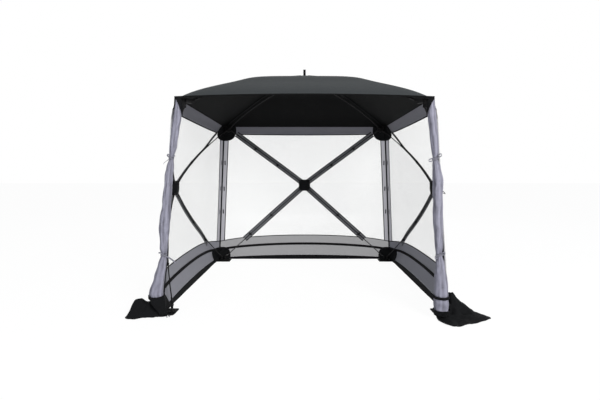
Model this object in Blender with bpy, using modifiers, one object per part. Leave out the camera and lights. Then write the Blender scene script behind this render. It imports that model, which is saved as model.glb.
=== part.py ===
"""A pop-up mosquito net tent with a folding frame of spring poles.

The roof and three walls are each carried by a hub with four bowed poles. The front is open, and its
door is unzipped down the middle, gathered at both front edges and tied there. Pushing the hubs
through their walls folds every pole towards its hub, so that all of them end up side by side.
X points to the right of someone who looks in through the door, Y points to the back wall, Z up.
"""

import math

import bmesh
import bpy
from mathutils import Matrix, Vector

MM = 0.001

# The tent as it stands, measured at the corners of its fabric
CORNER_HEIGHT = 1.760
TOP_HALF = 1.0475
FLOOR_SPREAD = 0.1025
CENTRE_Y = -0.038

# The folding frame
POLE_PITCH = math.radians(16.0)
CORNER_INSET = 0.110
POLE_BOW = 0.056
ROOF_PIN_DROP = 8.0 * MM
EAR_INSET = 0.0475
EAR_DROP = 52.0 * MM
WALL_HUB_DROP = 0.725
FOOT_PIN_HEIGHT = 0.060
ROOF_HUB_PIN = 0.0354
WALL_HUB_PIN = 0.040

# Fibreglass rods and the moulded ends on them
ROD_RADIUS = 5.5 * MM
ROD_STEPS = 8
FERRULE_RADIUS = 8.0 * MM
FERRULE_START = 22.0 * MM
FERRULE_LENGTH = 50.0 * MM
FERRULE_TAPER = 12.0 * MM
FERRULE_MOUTH_RADIUS = 7.0 * MM
SOCKET_DEPTH = 36.0 * MM
TONGUE_ROOT = 6.0 * MM
TONGUE_THICKNESS = 6.0 * MM
TONGUE_HALF_WIDTH = 6.5 * MM
EYE_RADIUS = 9.5 * MM
PIN_RADIUS = 2.5 * MM
PIN_SIDES = 6
ROUND_SIDES = 8
RUNNING_GAP = 0.3 * MM
SIDE_GAP = 0.5 * MM

# Clevises in the hubs and corner brackets
LUG_THICKNESS = 4.0 * MM
LUG_RADIUS = 10.0 * MM
EYE_CLEARANCE = 1.2 * MM
HUB_THICKNESS = 24.0 * MM
HUB_LUG_THICKNESS = 8.0 * MM
FORK_DEPTH = 24.0 * MM
FORK_HEIGHT = 17.0 * MM
ROOT_MARGIN = 0.5 * MM

# Swivel ears, whose stems turn in the plates of the top brackets
STEM_RADIUS = 7.0 * MM
STEM_START = 14.0 * MM
COLLAR_RADIUS = 9.5 * MM
COLLAR_START = 28.0 * MM
PLATE_START = 36.5 * MM
PLATE_THICKNESS = 8.0 * MM
STEM_HEAD_THICKNESS = 4.0 * MM
EAR_SHOULDER = 16.0 * MM
PLATE_REACH = 25.0 * MM
PLATE_DROP = 14.0 * MM
CORE_DEPTH = 70.0 * MM
CORE_HALF_WIDTH = 18.0 * MM
CORE_RISE = 6.0 * MM
CORE_DROP = 27.0 * MM

# Feet
FOOT_LIFT = 3.0 * MM
FOOT_BASE_HALF = 35.0 * MM
FOOT_BASE_THICKNESS = 6.0 * MM
FOOT_POST_HALF = 8.0 * MM
FOOT_POST_OUT = 22.0 * MM
LATCH_POST_HALF = 6.0 * MM

# Fabric
CLOTH = 2.0 * MM
SEAM_GAP = 0.3 * MM
SKIN_CLEARANCE = 15.5 * MM
SKIN_SETTLE_SHARE = 0.55
HUB_LIFT = 12.0 * MM
HUB_LIFT_SHARE = 0.15
ROOF_LIFT = 4.0 * MM
ROOF_STEPS = 6
NET_STEPS = 6
TAPE_WIDTH = 76.0 * MM
TAPE_THICKNESS = 1.2 * MM
TAPE_ROOM = 5.5 * MM
TAPE_STEPS = 6
TAPE_SHARES = (0.05, 0.92)
BOSS_RADIUS = 26.0 * MM
BOSS_TOP_RADIUS = 5.0 * MM
BOSS_TOP_DROP = 1.8 * MM
BOSS_SIDES = 12
HEADER_DEPTH = 0.090
BAND_HEIGHT = 0.290
BAND_LINE_HEIGHT = 0.150
GROUND_GAP = 5.0 * MM
SIDE_STRIP = 0.060
CREASE_MARGIN = 0.020
CORNER_TRIM = 0.5 * MM

# Cloth pads under the feet, and the ground flaps that spread from the front ones
PAD_THICKNESS = 2.7 * MM
PAD_HALF = 0.085

# The ground flap at a front foot: each rim point's shares of the flap's width and depth, then
# of its rise halfway out and at the rim
FLAP_WIDTH = 0.360
FLAP_DEPTH = 0.380
FLAP_RISE = 0.150
FLAP_HEM = 12.0 * MM
FLAP_RINGS = 6
FLAP_STEPS = 4
FLAP_FOLD_SHARE = 0.45
FLAP_FLAT_SHARE = 0.85
FLAP_LEFT_SHARES = (
    (0.20, -0.46, 0.25, 0.05),
    (0.48, -0.56, 0.45, 0.00),
    (0.80, -0.58, 0.45, 0.35),
    (0.82, -0.34, 0.75, 0.55),
    (0.58, -0.06, 1.00, 0.45),
    (0.42, 0.10, 0.55, 0.15),
    (0.33, 0.22, 0.00, 0.00),
)
FLAP_RIGHT_SHARES = (
    (0.04, -1.00, 0.25, 0.00),
    (0.34, -0.92, 0.45, 0.10),
    (0.74, -0.78, 0.40, 0.00),
    (1.00, -0.54, 0.45, 0.35),
    (0.80, -0.24, 0.70, 0.45),
    (0.52, 0.00, 1.00, 0.45),
    (0.42, 0.10, 0.55, 0.15),
    (0.33, 0.22, 0.00, 0.00),
)

# Pull straps on the hubs
STRAP_WIDTH = 25.0 * MM
STRAP_THICKNESS = 2.5 * MM
LOOP_LENGTH = 0.110
LOOP_HALF = 14.0 * MM
LOOP_STEPS = 16
WALL_LOOP_DROOP = math.radians(38.0)

# The gathered door: each level's height, its distance in from the front edge and its half width
DOOR_WIDTH = 0.120
DOOR_RING_STEPS = 20
DOOR_PLEATS = 5
DOOR_PLEAT_SHARE = 0.14
DOOR_GAP = 2.4 * MM
DOOR_LEFT_SHARES = (
    (0.965, 0.20, 0.18),
    (0.911, 0.18, 0.23),
    (0.843, 0.10, 0.27),
    (0.778, 0.08, 0.26),
    (0.738, 0.05, 0.19),
    (0.718, 0.05, 0.13),
    (0.698, 0.03, 0.19),
    (0.639, -0.06, 0.27),
    (0.507, -0.10, 0.29),
    (0.425, -0.10, 0.35),
    (0.316, -0.06, 0.24),
    (0.282, -0.05, 0.18),
    (0.256, -0.08, 0.25),
    (0.185, -0.18, 0.36),
    (0.099, -0.33, 0.47),
)
DOOR_RIGHT_SHARES = (
    (0.965, 0.22, 0.18),
    (0.911, 0.25, 0.25),
    (0.830, 0.21, 0.23),
    (0.765, 0.19, 0.24),
    (0.738, 0.19, 0.20),
    (0.718, 0.19, 0.14),
    (0.698, 0.16, 0.21),
    (0.620, 0.09, 0.37),
    (0.500, 0.20, 0.35),
    (0.420, 0.30, 0.34),
    (0.316, 0.36, 0.26),
    (0.282, 0.38, 0.18),
    (0.256, 0.40, 0.26),
    (0.180, 0.46, 0.44),
    (0.099, 0.50, 0.51),
)
TIE_SHARES = (0.718, 0.282)
TIE_WIDTH = 22.0 * MM
TIE_ROOM = 13.0 * MM
TIE_THICKNESS = 1.5 * MM

COLOURS = {
    "hub plastic": (0.020, 0.020, 0.022, 0.45, 0.0),
    "fibreglass": (0.030, 0.030, 0.032, 0.30, 0.0),
    "roof cloth": (0.072, 0.080, 0.085, 0.80, 0.0),
    "netting": (0.850, 0.850, 0.870, 0.90, 0.0),
    "grey cloth": (0.240, 0.240, 0.260, 0.80, 0.0),
    "door cloth": (0.330, 0.320, 0.380, 0.75, 0.0),
    "black cloth": (0.012, 0.012, 0.013, 0.85, 0.0),
    "webbing": (0.015, 0.015, 0.016, 0.75, 0.0),
}

FLOOR_HALF = TOP_HALF + FLOOR_SPREAD
LEAN = math.atan2(FLOOR_SPREAD, CORNER_HEIGHT)
POLE_SPAN = TOP_HALF - CORNER_INSET - WALL_HUB_PIN
ROOF_PIN_HEIGHT = CORNER_HEIGHT - ROOF_PIN_DROP
EAR_HEIGHT = ROOF_PIN_HEIGHT - EAR_DROP
FOOT_PIN_SPAN = FLOOR_HALF - CORNER_INSET
SLOT_HALF = TONGUE_THICKNESS / 2 + SIDE_GAP
FORK_HALF = SLOT_HALF + LUG_THICKNESS
FORK_BACK = EYE_RADIUS + EYE_CLEARANCE
SKIN_OFFSET = ROD_RADIUS + SKIN_CLEARANCE
SIDES = {"left": 1, "back": 0, "right": -1}


def smooth(x):
    x = min(max(x, 0.0), 1.0)
    return x * x * (3 - 2 * x)


class Arm:
    """One pole's place in its face: from the hub's pin to the pin at a corner."""

    def __init__(self, face, across, down, corner):
        self.face = face
        self.across = across
        self.down = down
        self.hub_pin = Vector((across * face.hub_pin, face.centre + down * face.hub_pin))
        self.corner_pin = Vector(corner)
        run = self.corner_pin - self.hub_pin
        self.reach = run.length
        self.out = run.normalized()

    def height(self, share):
        """How far the rod's middle stands outside the plane of the corner pins."""
        rise = self.face.rise
        return rise * (1 - share) + 4 * POLE_BOW * share * (1 - share)

    def frame(self, at_corner=False):
        """Axes along the pole's run, along its pins and out of the face, placed at one of its pins."""
        face = self.face
        out = face.axes @ Vector((self.out.x, self.out.y, 0))
        normal = face.axes @ Vector((0, 0, 1))
        side = normal.cross(out)
        if at_corner:
            place = face.point(self.corner_pin.x, self.corner_pin.y, 0)
        else:
            place = face.point(self.hub_pin.x, self.hub_pin.y, face.rise)
        return Matrix.Translation(place) @ Matrix((out, side, normal)).transposed().to_4x4()


class Face:
    """The roof or a wall: across, down and outward axes, and where its hub, pins and cloth are."""

    def __init__(self, name, axes, origin, centre, hub_pin, rise, corners, edges, edge_lift):
        self.name = name
        self.axes = axes
        self.origin = origin
        self.centre = centre
        self.hub_pin = hub_pin
        self.rise = rise
        self.top, self.bottom, self.top_half, self.bottom_half = edges
        self.edge_lift = edge_lift
        self.arms = [Arm(self, across, down, corner) for across, down, corner in corners]

    def point(self, across, down, out):
        return self.origin + self.axes @ Vector((across, down, out))

    def half_width(self, down):
        share = (down - self.top) / (self.bottom - self.top)
        return self.top_half + share * (self.bottom_half - self.top_half)

    def crease(self, down):
        """Half the distance between the two poles at this height, and their share of the way out."""
        if down <= self.centre:
            share = (self.centre - down) / (self.centre - self.top)
            return share * self.top_half, share
        share = (down - self.centre) / (self.bottom - self.centre)
        return share * self.bottom_half, share

    def skin(self, across, down):
        """How far the cloth stands outside the plane of the pins."""
        crease, share = self.crease(down)
        beside = abs(across) - crease
        if beside > 0:
            room = self.half_width(down) - crease
            share = share + (1 - share) * beside / room if room > 0 else 1.0
        arm = self.arms[-1]
        start = math.hypot(self.hub_pin, self.hub_pin)
        corner = math.hypot(self.top_half, self.centre - self.top)
        rest = arm.height((share * corner - start) / arm.reach)
        end = arm.height((corner - start) / arm.reach)
        lift = self.edge_lift - end - SKIN_OFFSET
        settle = smooth((share - SKIN_SETTLE_SHARE) / (1 - SKIN_SETTLE_SHARE))
        dome = HUB_LIFT * (1 - smooth(share / HUB_LIFT_SHARE))
        return rest + SKIN_OFFSET + lift * settle + dome


def make_roof():
    reach = POLE_SPAN + ROOF_HUB_PIN
    axes = Matrix(((1, 0, 0), (0, 1, 0), (0, 0, 1)))
    corners = [(i, j, (i * reach, j * reach)) for i, j in ((1, 1), (-1, 1), (-1, -1), (1, -1))]
    rise = math.hypot(POLE_SPAN, POLE_SPAN) * math.tan(POLE_PITCH)
    origin = Vector((0, CENTRE_Y, ROOF_PIN_HEIGHT))
    edges = (-TOP_HALF, TOP_HALF, TOP_HALF, TOP_HALF)
    lift = CORNER_HEIGHT - ROOF_PIN_HEIGHT + ROOF_LIFT
    return Face("roof", axes, origin, 0.0, ROOF_HUB_PIN, rise, corners, edges, lift)


def make_wall(name, quarter):
    """The back wall turned by quarters: across runs along the top edge and down leans outwards."""
    turn = Matrix.Rotation(quarter * math.pi / 2, 3, "Z")
    sine, cosine = math.sin(LEAN), math.cos(LEAN)
    axes = turn @ Matrix(((1, 0, 0), (0, sine, cosine), (0, -cosine, sine)))
    pins = TOP_HALF - EAR_INSET
    origin = Vector((0, CENTRE_Y, EAR_HEIGHT)) + turn @ Vector((0, pins, 0))
    reach = POLE_SPAN + WALL_HUB_PIN
    foot = (EAR_HEIGHT - FOOT_PIN_HEIGHT) / cosine
    corners = [
        (1, 1, (FOOT_PIN_SPAN, foot)),
        (-1, 1, (-FOOT_PIN_SPAN, foot)),
        (-1, -1, (-reach, 0)),
        (1, -1, (reach, 0)),
    ]
    rise = math.hypot(POLE_SPAN, WALL_HUB_DROP - WALL_HUB_PIN) * math.tan(POLE_PITCH)
    above = CORNER_HEIGHT - EAR_HEIGHT
    top = EAR_INSET * sine - above * cosine
    lift = EAR_INSET * cosine + above * sine
    edges = (top, top + CORNER_HEIGHT / cosine, TOP_HALF, FLOOR_HALF)
    return Face(name, axes, origin, WALL_HUB_DROP, WALL_HUB_PIN, rise, corners, edges, lift)


ROOF = make_roof()
WALLS = {name: make_wall(name, quarter) for name, quarter in SIDES.items()}


def clear_scene():
    for item in list(bpy.data.objects):
        bpy.data.objects.remove(item, do_unlink=True)
    for group in list(bpy.data.collections):
        bpy.data.collections.remove(group)


def make_material(name):
    red, green, blue, roughness, metallic = COLOURS[name]
    material = bpy.data.materials.new(name)
    material.use_nodes = True
    shader = material.node_tree.nodes["Principled BSDF"]
    shader.inputs["Base Color"].default_value = (red, green, blue, 1)
    shader.inputs["Roughness"].default_value = roughness
    shader.inputs["Metallic"].default_value = metallic
    return material


def evaluated(item):
    """The item's mesh with its modifiers, its loose caps welded. The item itself is removed."""
    bpy.context.view_layer.update()
    graph = bpy.context.evaluated_depsgraph_get()
    mesh = bpy.data.meshes.new_from_object(item.evaluated_get(graph))
    bpy.data.objects.remove(item, do_unlink=True)
    form = bmesh.new()
    form.from_mesh(mesh)
    bmesh.ops.remove_doubles(form, verts=form.verts, dist=MM / 100)
    bmesh.ops.dissolve_degenerate(form, edges=form.edges, dist=MM / 100)
    form.to_mesh(mesh)
    form.free()
    return mesh


def helper(data):
    item = bpy.data.objects.new("form", data)
    bpy.context.scene.collection.objects.link(item)
    return item


def moved(mesh, frame):
    mesh.transform(frame)
    return mesh


def block(low, high):
    form = bmesh.new()
    bmesh.ops.create_cube(form, size=1)
    low, high = Vector(low), Vector(high)
    bmesh.ops.scale(form, vec=high - low, verts=form.verts)
    bmesh.ops.translate(form, vec=(low + high) / 2, verts=form.verts)
    mesh = bpy.data.meshes.new("block")
    form.to_mesh(mesh)
    form.free()
    return mesh


def bar(radius, start, end, sides, turn=None, end_radius=None):
    """A round or tapered bar along X, or along the axis that turn takes X to."""
    form = bmesh.new()
    bmesh.ops.create_cone(
        form, cap_ends=True, segments=sides, radius1=radius, radius2=end_radius or radius, depth=end - start
    )
    mesh = bpy.data.meshes.new("bar")
    form.to_mesh(mesh)
    form.free()
    lay = Matrix.Translation(((start + end) / 2, 0, 0)) @ Matrix.Rotation(math.pi / 2, 4, "Y")
    return moved(mesh, turn.to_4x4() @ lay if turn else lay)


def turned(profile, sides):
    """A profile of (radius, place along X) pairs, from its start to its end, turned about X."""
    mesh = bpy.data.meshes.new("turned")
    mesh.from_pydata([(r, 0, x) for r, x in profile], [(i, i + 1) for i in range(len(profile) - 1)], [])
    item = helper(mesh)
    screw = item.modifiers.new("turn", "SCREW")
    screw.axis = "Z"
    screw.steps = sides
    screw.render_steps = sides
    screw.use_merge_vertices = True
    screw.merge_threshold = MM / 100
    screw.use_normal_calculate = True
    result = evaluated(item)
    outward(result)
    return moved(result, Matrix.Rotation(math.pi / 2, 4, "Y"))


def outward(mesh):
    """Turns all faces of a closed mesh outwards."""
    form = bmesh.new()
    form.from_mesh(mesh)
    bmesh.ops.recalc_face_normals(form, faces=form.faces)
    if form.calc_volume(signed=True) < 0:
        bmesh.ops.reverse_faces(form, faces=form.faces)
    form.to_mesh(mesh)
    form.free()
    return mesh


def ellipse(half_length, half_width, sides):
    turns = [2 * math.pi * k / sides for k in range(sides)]
    return [(half_length * math.cos(a), half_width * math.sin(a)) for a in turns]


def plate(outline, thickness, holes=()):
    """A flat outline with holes, extruded evenly about its own plane."""
    curve = bpy.data.curves.new("plate", "CURVE")
    curve.dimensions = "2D"
    curve.fill_mode = "BOTH"
    curve.extrude = thickness / 2
    for ring in (outline, *holes):
        spline = curve.splines.new("POLY")
        spline.points.add(len(ring) - 1)
        for point, (x, y) in zip(spline.points, ring):
            point.co = (x, y, 0, 1)
        spline.use_cyclic_u = True
    return outward(evaluated(helper(curve)))


def tube(points, radius, resolution=2):
    curve = bpy.data.curves.new("tube", "CURVE")
    curve.dimensions = "3D"
    curve.bevel_depth = radius
    curve.bevel_resolution = resolution
    curve.use_fill_caps = True
    spline = curve.splines.new("POLY")
    spline.points.add(len(points) - 1)
    for point, place in zip(spline.points, points):
        point.co = (*place, 1)
    return outward(evaluated(helper(curve)))


def combine(base, others, operation):
    item = helper(base)
    tools = [helper(other) for other in others]
    for tool in tools:
        change = item.modifiers.new("change", "BOOLEAN")
        change.operation = operation
        change.object = tool
    result = evaluated(item)
    for tool in tools:
        bpy.data.objects.remove(tool, do_unlink=True)
    return result


def fused(meshes):
    return combine(meshes[0], meshes[1:], "UNION")


def drilled(mesh, cutters):
    return combine(mesh, cutters, "DIFFERENCE")


def hole_radius(radius, sides):
    """A faceted hole in which a round bar of this radius turns freely."""
    return (radius + RUNNING_GAP) / math.cos(math.pi / sides)


def eye(radius, root, half_width, thickness):
    """A flat tongue along +X with a pin hole at its round end, in the plane of X and Z."""
    turns = [math.radians(60 + 60 * k) for k in range(5)]
    outline = [(radius * math.cos(a), radius * math.sin(a)) for a in turns]
    outline += [(root, -half_width), (root, half_width)]
    hole = ellipse(hole_radius(PIN_RADIUS, PIN_SIDES), hole_radius(PIN_RADIUS, PIN_SIDES), PIN_SIDES)
    return moved(plate(outline, thickness, [hole]), Matrix.Rotation(math.pi / 2, 4, "X"))


def pin(half_length):
    return bar(PIN_RADIUS, -half_length, half_length, PIN_SIDES, Matrix.Rotation(math.pi / 2, 3, "Z"))


def cloth(points, faces, thickness):
    """A surface with its outer side up, grown outwards by its thickness."""
    mesh = bpy.data.meshes.new("cloth")
    mesh.from_pydata([tuple(p) for p in points], [], faces)
    form = bmesh.new()
    form.from_mesh(mesh)
    bmesh.ops.remove_doubles(form, verts=form.verts, dist=MM / 10)
    form.to_mesh(mesh)
    form.free()
    item = helper(mesh)
    solid = item.modifiers.new("cloth", "SOLIDIFY")
    solid.thickness = thickness
    solid.offset = 1
    return outward(evaluated(item))


def sheet(rows, thickness, window=lambda i, j: False):
    """A cloth through rows of points, without the cells in its window."""
    count = len(rows[0])
    faces = [
        (i * count + j, i * count + j + 1, (i + 1) * count + j + 1, (i + 1) * count + j)
        for i in range(len(rows) - 1)
        for j in range(count - 1)
        if not window(i, j)
    ]
    return cloth([p for row in rows for p in row], faces, thickness)


class Model:
    """Collects the parts in their own collection, each with one material."""

    def __init__(self):
        self.collection = bpy.data.collections.new("mosquito net tent")
        bpy.context.scene.collection.children.link(self.collection)
        self.materials = {name: make_material(name) for name in COLOURS}

    def add(self, name, mesh, material, origin=Vector()):
        """Makes one object of a solid, with its origin on its joint's axis."""
        mesh.name = name
        mesh.transform(Matrix.Translation(-origin))
        mesh.materials.clear()
        mesh.materials.append(self.materials[material])
        mesh.shade_smooth()
        mesh.set_sharp_from_angle(angle=math.radians(35))
        item = bpy.data.objects.new(name, mesh)
        item.location = origin
        self.collection.objects.link(item)
        return item


def pole_end(slope, toward):
    """A ferrule with its flat tongue: X runs from the pin's centre along the rod."""
    mouth = FERRULE_START + FERRULE_LENGTH
    profile = [
        (0, FERRULE_START),
        (FERRULE_RADIUS, FERRULE_START),
        (FERRULE_RADIUS, mouth - FERRULE_TAPER),
        (FERRULE_MOUTH_RADIUS, mouth),
        (0, mouth),
    ]
    tongue = eye(EYE_RADIUS, FERRULE_START + TONGUE_ROOT, TONGUE_HALF_WIDTH, TONGUE_THICKNESS)
    end = fused([turned(profile, ROUND_SIDES), tongue])
    turn = Matrix.Rotation(math.pi if toward < 0 else 0, 4, "Z")
    return moved(end, Matrix.Rotation(-math.atan(slope), 4, "Y") @ turn)


def rod_points(arm):
    """The rod's middle in the pole's own frame, from one socket's floor to the other's."""
    inset = FERRULE_START + FERRULE_LENGTH - SOCKET_DEPTH
    first = inset / arm.reach
    shares = [first + (1 - 2 * first) * k / ROD_STEPS for k in range(ROD_STEPS + 1)]
    return [Vector((arm.reach * q, 0, arm.height(q) - arm.face.rise)) for q in shares]


def build_pole(model, arm, name):
    near = (4 * POLE_BOW - arm.face.rise) / arm.reach
    far = (-4 * POLE_BOW - arm.face.rise) / arm.reach
    hub_end = pole_end(near, 1)
    corner_end = pole_end(far, -1)
    corner_end = moved(corner_end, Matrix.Translation((arm.reach, 0, -arm.face.rise)))
    rod = tube(rod_points(arm), ROD_RADIUS, 1)
    frame = arm.frame()
    model.add(name, moved(fused([rod, hub_end, corner_end]), frame), "fibreglass", frame.translation)


def build_hub(model, face, name):
    """A moulded plate with a slot for each pole's tongue and a pin across each slot."""
    half = SLOT_HALF + HUB_LUG_THICKNESS
    outline = []
    for arm in face.arms:
        side = Vector((-arm.out.y, arm.out.x))
        for along, across in (
            (LUG_RADIUS, -half),
            (LUG_RADIUS, -SLOT_HALF),
            (-FORK_BACK, -SLOT_HALF),
            (-FORK_BACK, SLOT_HALF),
            (LUG_RADIUS, SLOT_HALF),
            (LUG_RADIUS, half),
        ):
            outline.append(tuple(arm.hub_pin + along * arm.out + across * side))
    body = plate(outline, HUB_THICKNESS)
    place = Matrix.Translation(face.origin) @ face.axes.to_4x4() @ Matrix.Translation((0, 0, face.rise))
    body = moved(body, place)
    pins = [moved(pin(half - HUB_LUG_THICKNESS / 2), arm.frame()) for arm in face.arms]
    centre = face.point(0, face.centre, face.rise)
    reach = face.skin(0, face.centre) - face.rise - SEAM_GAP - BOSS_TOP_DROP
    if face is not ROOF:
        reach -= TAPE_THICKNESS + SEAM_GAP
    stand = Matrix.Rotation(-math.pi / 2, 3, "Y")
    boss = bar(BOSS_RADIUS, HUB_THICKNESS / 2 - MM, reach, BOSS_SIDES, stand, BOSS_TOP_RADIUS)
    boss = moved(boss, Matrix.Translation(centre) @ face.axes.to_4x4())
    model.add(name, fused([body, boss, *pins]), "hub plastic", centre)


def lug_outline(root):
    turns = [math.radians(120 + 60 * k) for k in range(3)]
    outline = [(LUG_RADIUS * math.cos(a), LUG_RADIUS * math.sin(a)) for a in turns]
    return outline + [(root, -FORK_HEIGHT / 2), (root, FORK_HEIGHT / 2)]


def lug(side):
    """One lug of a clevis, round at the pin and rooted further out along +X."""
    form = plate(lug_outline(FORK_DEPTH), LUG_THICKNESS)
    form = moved(form, Matrix.Rotation(math.pi / 2, 4, "X"))
    return moved(form, Matrix.Translation((0, side * (SLOT_HALF + LUG_THICKNESS / 2), 0)))


def clevis_parts(low=-FORK_HALF, high=FORK_HALF):
    """The block behind the tongue's eye, the two lugs on it and the pin across them."""
    half = FORK_HEIGHT / 2 + ROOT_MARGIN
    root = block((FORK_BACK, low - ROOT_MARGIN, -half), (FORK_DEPTH + ROOT_MARGIN, high + ROOT_MARGIN, half))
    return [root, lug(-1), lug(1), pin(SLOT_HALF + LUG_THICKNESS / 2)]


def build_ear(model, arm, name):
    """A swivel ear: a clevis for a wall's upper pole on a stem along the wall's top edge."""
    side = arm.across
    low, high = sorted((-side * FORK_HALF, side * EAR_SHOULDER))
    frame = arm.frame(at_corner=True)
    parts = [moved(form, frame) for form in clevis_parts(low, high)]
    plate_end = PLATE_START + PLATE_THICKNESS + RUNNING_GAP
    profile = [
        (0, STEM_START),
        (STEM_RADIUS, STEM_START),
        (STEM_RADIUS, COLLAR_START),
        (COLLAR_RADIUS, COLLAR_START),
        (COLLAR_RADIUS, PLATE_START - RUNNING_GAP),
        (STEM_RADIUS, PLATE_START - RUNNING_GAP),
        (STEM_RADIUS, plate_end),
        (COLLAR_RADIUS, plate_end),
        (COLLAR_RADIUS, plate_end + STEM_HEAD_THICKNESS),
        (0, plate_end + STEM_HEAD_THICKNESS),
    ]
    stem = turned(profile, ROUND_SIDES)
    turn = Matrix.Rotation(math.pi if side < 0 else 0, 4, "Z")
    edge = Matrix.Translation(frame.translation) @ arm.face.axes.to_4x4()
    stem = moved(stem, edge @ turn)
    model.add(name, fused([parts[0], stem, *parts[1:]]), "hub plastic", frame.translation)


def ear_plate(arm):
    """The plate of a top bracket that an ear's stem passes through, in the world's frame."""
    face = arm.face
    side = arm.across
    frame = arm.frame(at_corner=True)
    up = ROOF_PIN_HEIGHT + CORE_RISE - EAR_HEIGHT + ROOT_MARGIN
    turn = Matrix.Rotation(math.pi if side < 0 else 0, 3, "Z")
    level = face.axes @ Matrix.Rotation(-LEAN, 3, "X")
    wide = block((PLATE_START, -up, -PLATE_REACH), (PLATE_START + PLATE_THICKNESS, PLATE_DROP, PLATE_REACH))
    if side < 0:
        wide = moved(wide, Matrix.Diagonal((-1, 1, 1, 1)))
        outward(wide)
    bore = bar(
        hole_radius(STEM_RADIUS, ROUND_SIDES), PLATE_START / 2, 2 * PLATE_START, ROUND_SIDES, turn
    )
    place = Matrix.Translation(frame.translation) @ level.to_4x4()
    return moved(wide, place), moved(bore, place)


def build_top_corner(model, arm, ears, name):
    """A moulded bracket: a clevis for the roof pole and a plate for each ear."""
    frame = arm.frame(at_corner=True)
    core = block((FORK_BACK + MM, -CORE_HALF_WIDTH, -CORE_DROP), (CORE_DEPTH, CORE_HALF_WIDTH, CORE_RISE))
    forms = [moved(form, frame) for form in (core, *clevis_parts())]
    plates, bores = zip(*[ear_plate(ear) for ear in ears])
    body = drilled(fused([*forms, *plates]), bores)
    model.add(name, body, "hub plastic", frame.translation)


def foot_post(arm, along, side, half):
    """A post from below a clevis down to the foot's base plate."""
    top = arm.frame(at_corner=True) @ Vector((along, side, 0))
    low = FOOT_LIFT + FOOT_BASE_THICKNESS / 2
    return block((top.x - half, top.y - half, low), (top.x + half, top.y + half, top.z))


def build_foot(model, arm, latch, name):
    """A foot: a clevis for a side wall's lower pole, and at the back a lug beside the back wall's."""
    frame = arm.frame(at_corner=True)
    forms = [moved(form, frame) for form in clevis_parts()]
    forms.append(foot_post(arm, FOOT_POST_OUT, 0, FOOT_POST_HALF))
    places = [frame.translation]
    if latch:
        side = -latch.across
        other = latch.frame(at_corner=True)
        low, high = sorted((side * (SLOT_HALF + ROOT_MARGIN), side * EAR_SHOULDER))
        half = FORK_HEIGHT / 2 + ROOT_MARGIN
        shoulder = block((FORK_BACK, low, -half), (FORK_DEPTH + ROOT_MARGIN, high, half))
        forms += [moved(shoulder, other), moved(lug(side), other)]
        middle = (FORK_BACK + FORK_DEPTH) / 2
        forms.append(foot_post(latch, middle, side * (SLOT_HALF + EAR_SHOULDER) / 2, LATCH_POST_HALF))
        places.append(other.translation)
    low = Vector([min(p[i] for p in places) - FOOT_BASE_HALF for i in range(2)] + [FOOT_LIFT])
    high = Vector([max(p[i] for p in places) + FOOT_BASE_HALF for i in range(2)] + [FOOT_LIFT + FOOT_BASE_THICKNESS])
    forms.insert(0, block(low, high))
    model.add(name, fused(forms), "hub plastic", frame.translation)


def levels(start, end, count):
    return [start + (end - start) * k / count for k in range(count + 1)]


def mirrored_row(face, down, across, middle=()):
    """Points on the cloth at one height, at the given distances to both sides."""
    across = [-x for x in across] + [*middle, *reversed(across)]
    return [face.point(x, down, face.skin(x, down)) for x in across]


def wall_row(face, down, edge, steps):
    """Points across a face at one height, two of them on its poles, edge short of its sides."""
    half = face.half_width(down) - edge
    crease = min(face.crease(down)[0], half)
    return mirrored_row(face, down, levels(half, crease, steps))


def build_roof_canopy(model):
    """The roof's cloth, in one piece over the hub and out to the top edges."""
    downs = levels(ROOF.top, 0, ROOF_STEPS) + levels(0, ROOF.bottom, ROOF_STEPS)[1:]
    rows = [wall_row(ROOF, down, 0, ROOF_STEPS) for down in downs]
    model.add("roof_canopy", sheet(rows, CLOTH), "roof cloth")


def build_net(model, face):
    """A wall's net, inside its border and bowed out over the poles."""
    top = face.top + HEADER_DEPTH + SEAM_GAP
    bottom = face.bottom - BAND_HEIGHT - SEAM_GAP
    downs = levels(top, face.centre, NET_STEPS) + levels(face.centre, bottom, NET_STEPS)[1:]
    rows = [wall_row(face, down, SIDE_STRIP + SEAM_GAP, NET_STEPS - 2) for down in downs]
    model.add("net_" + face.name, sheet(rows, CLOTH), "netting")


def border_row(face, down):
    half = face.half_width(down) - CORNER_TRIM
    strip = half + CORNER_TRIM - SIDE_STRIP
    crease = min(face.crease(down)[0], strip - CREASE_MARGIN)
    return mirrored_row(face, down, [half, strip, crease], [0])


def build_border(model, face):
    """A wall's solid cloth around its net: header, corner strips and the two lower bands."""
    top = face.top + HEADER_DEPTH
    bottom = face.bottom - BAND_HEIGHT
    line = face.bottom - BAND_LINE_HEIGHT
    middle = levels(top, face.centre, NET_STEPS) + levels(face.centre, bottom, NET_STEPS)[1:]
    downs = [face.top + CLOTH + ROOF_LIFT, *middle, line, face.bottom - GROUND_GAP]
    rows = [border_row(face, down) for down in downs]
    beside = (0, len(rows[0]) - 2)
    form = sheet(rows, CLOTH, lambda i, j: 0 < i < len(middle) and j not in beside)
    model.add("border_" + face.name, form, "grey cloth")


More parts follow.
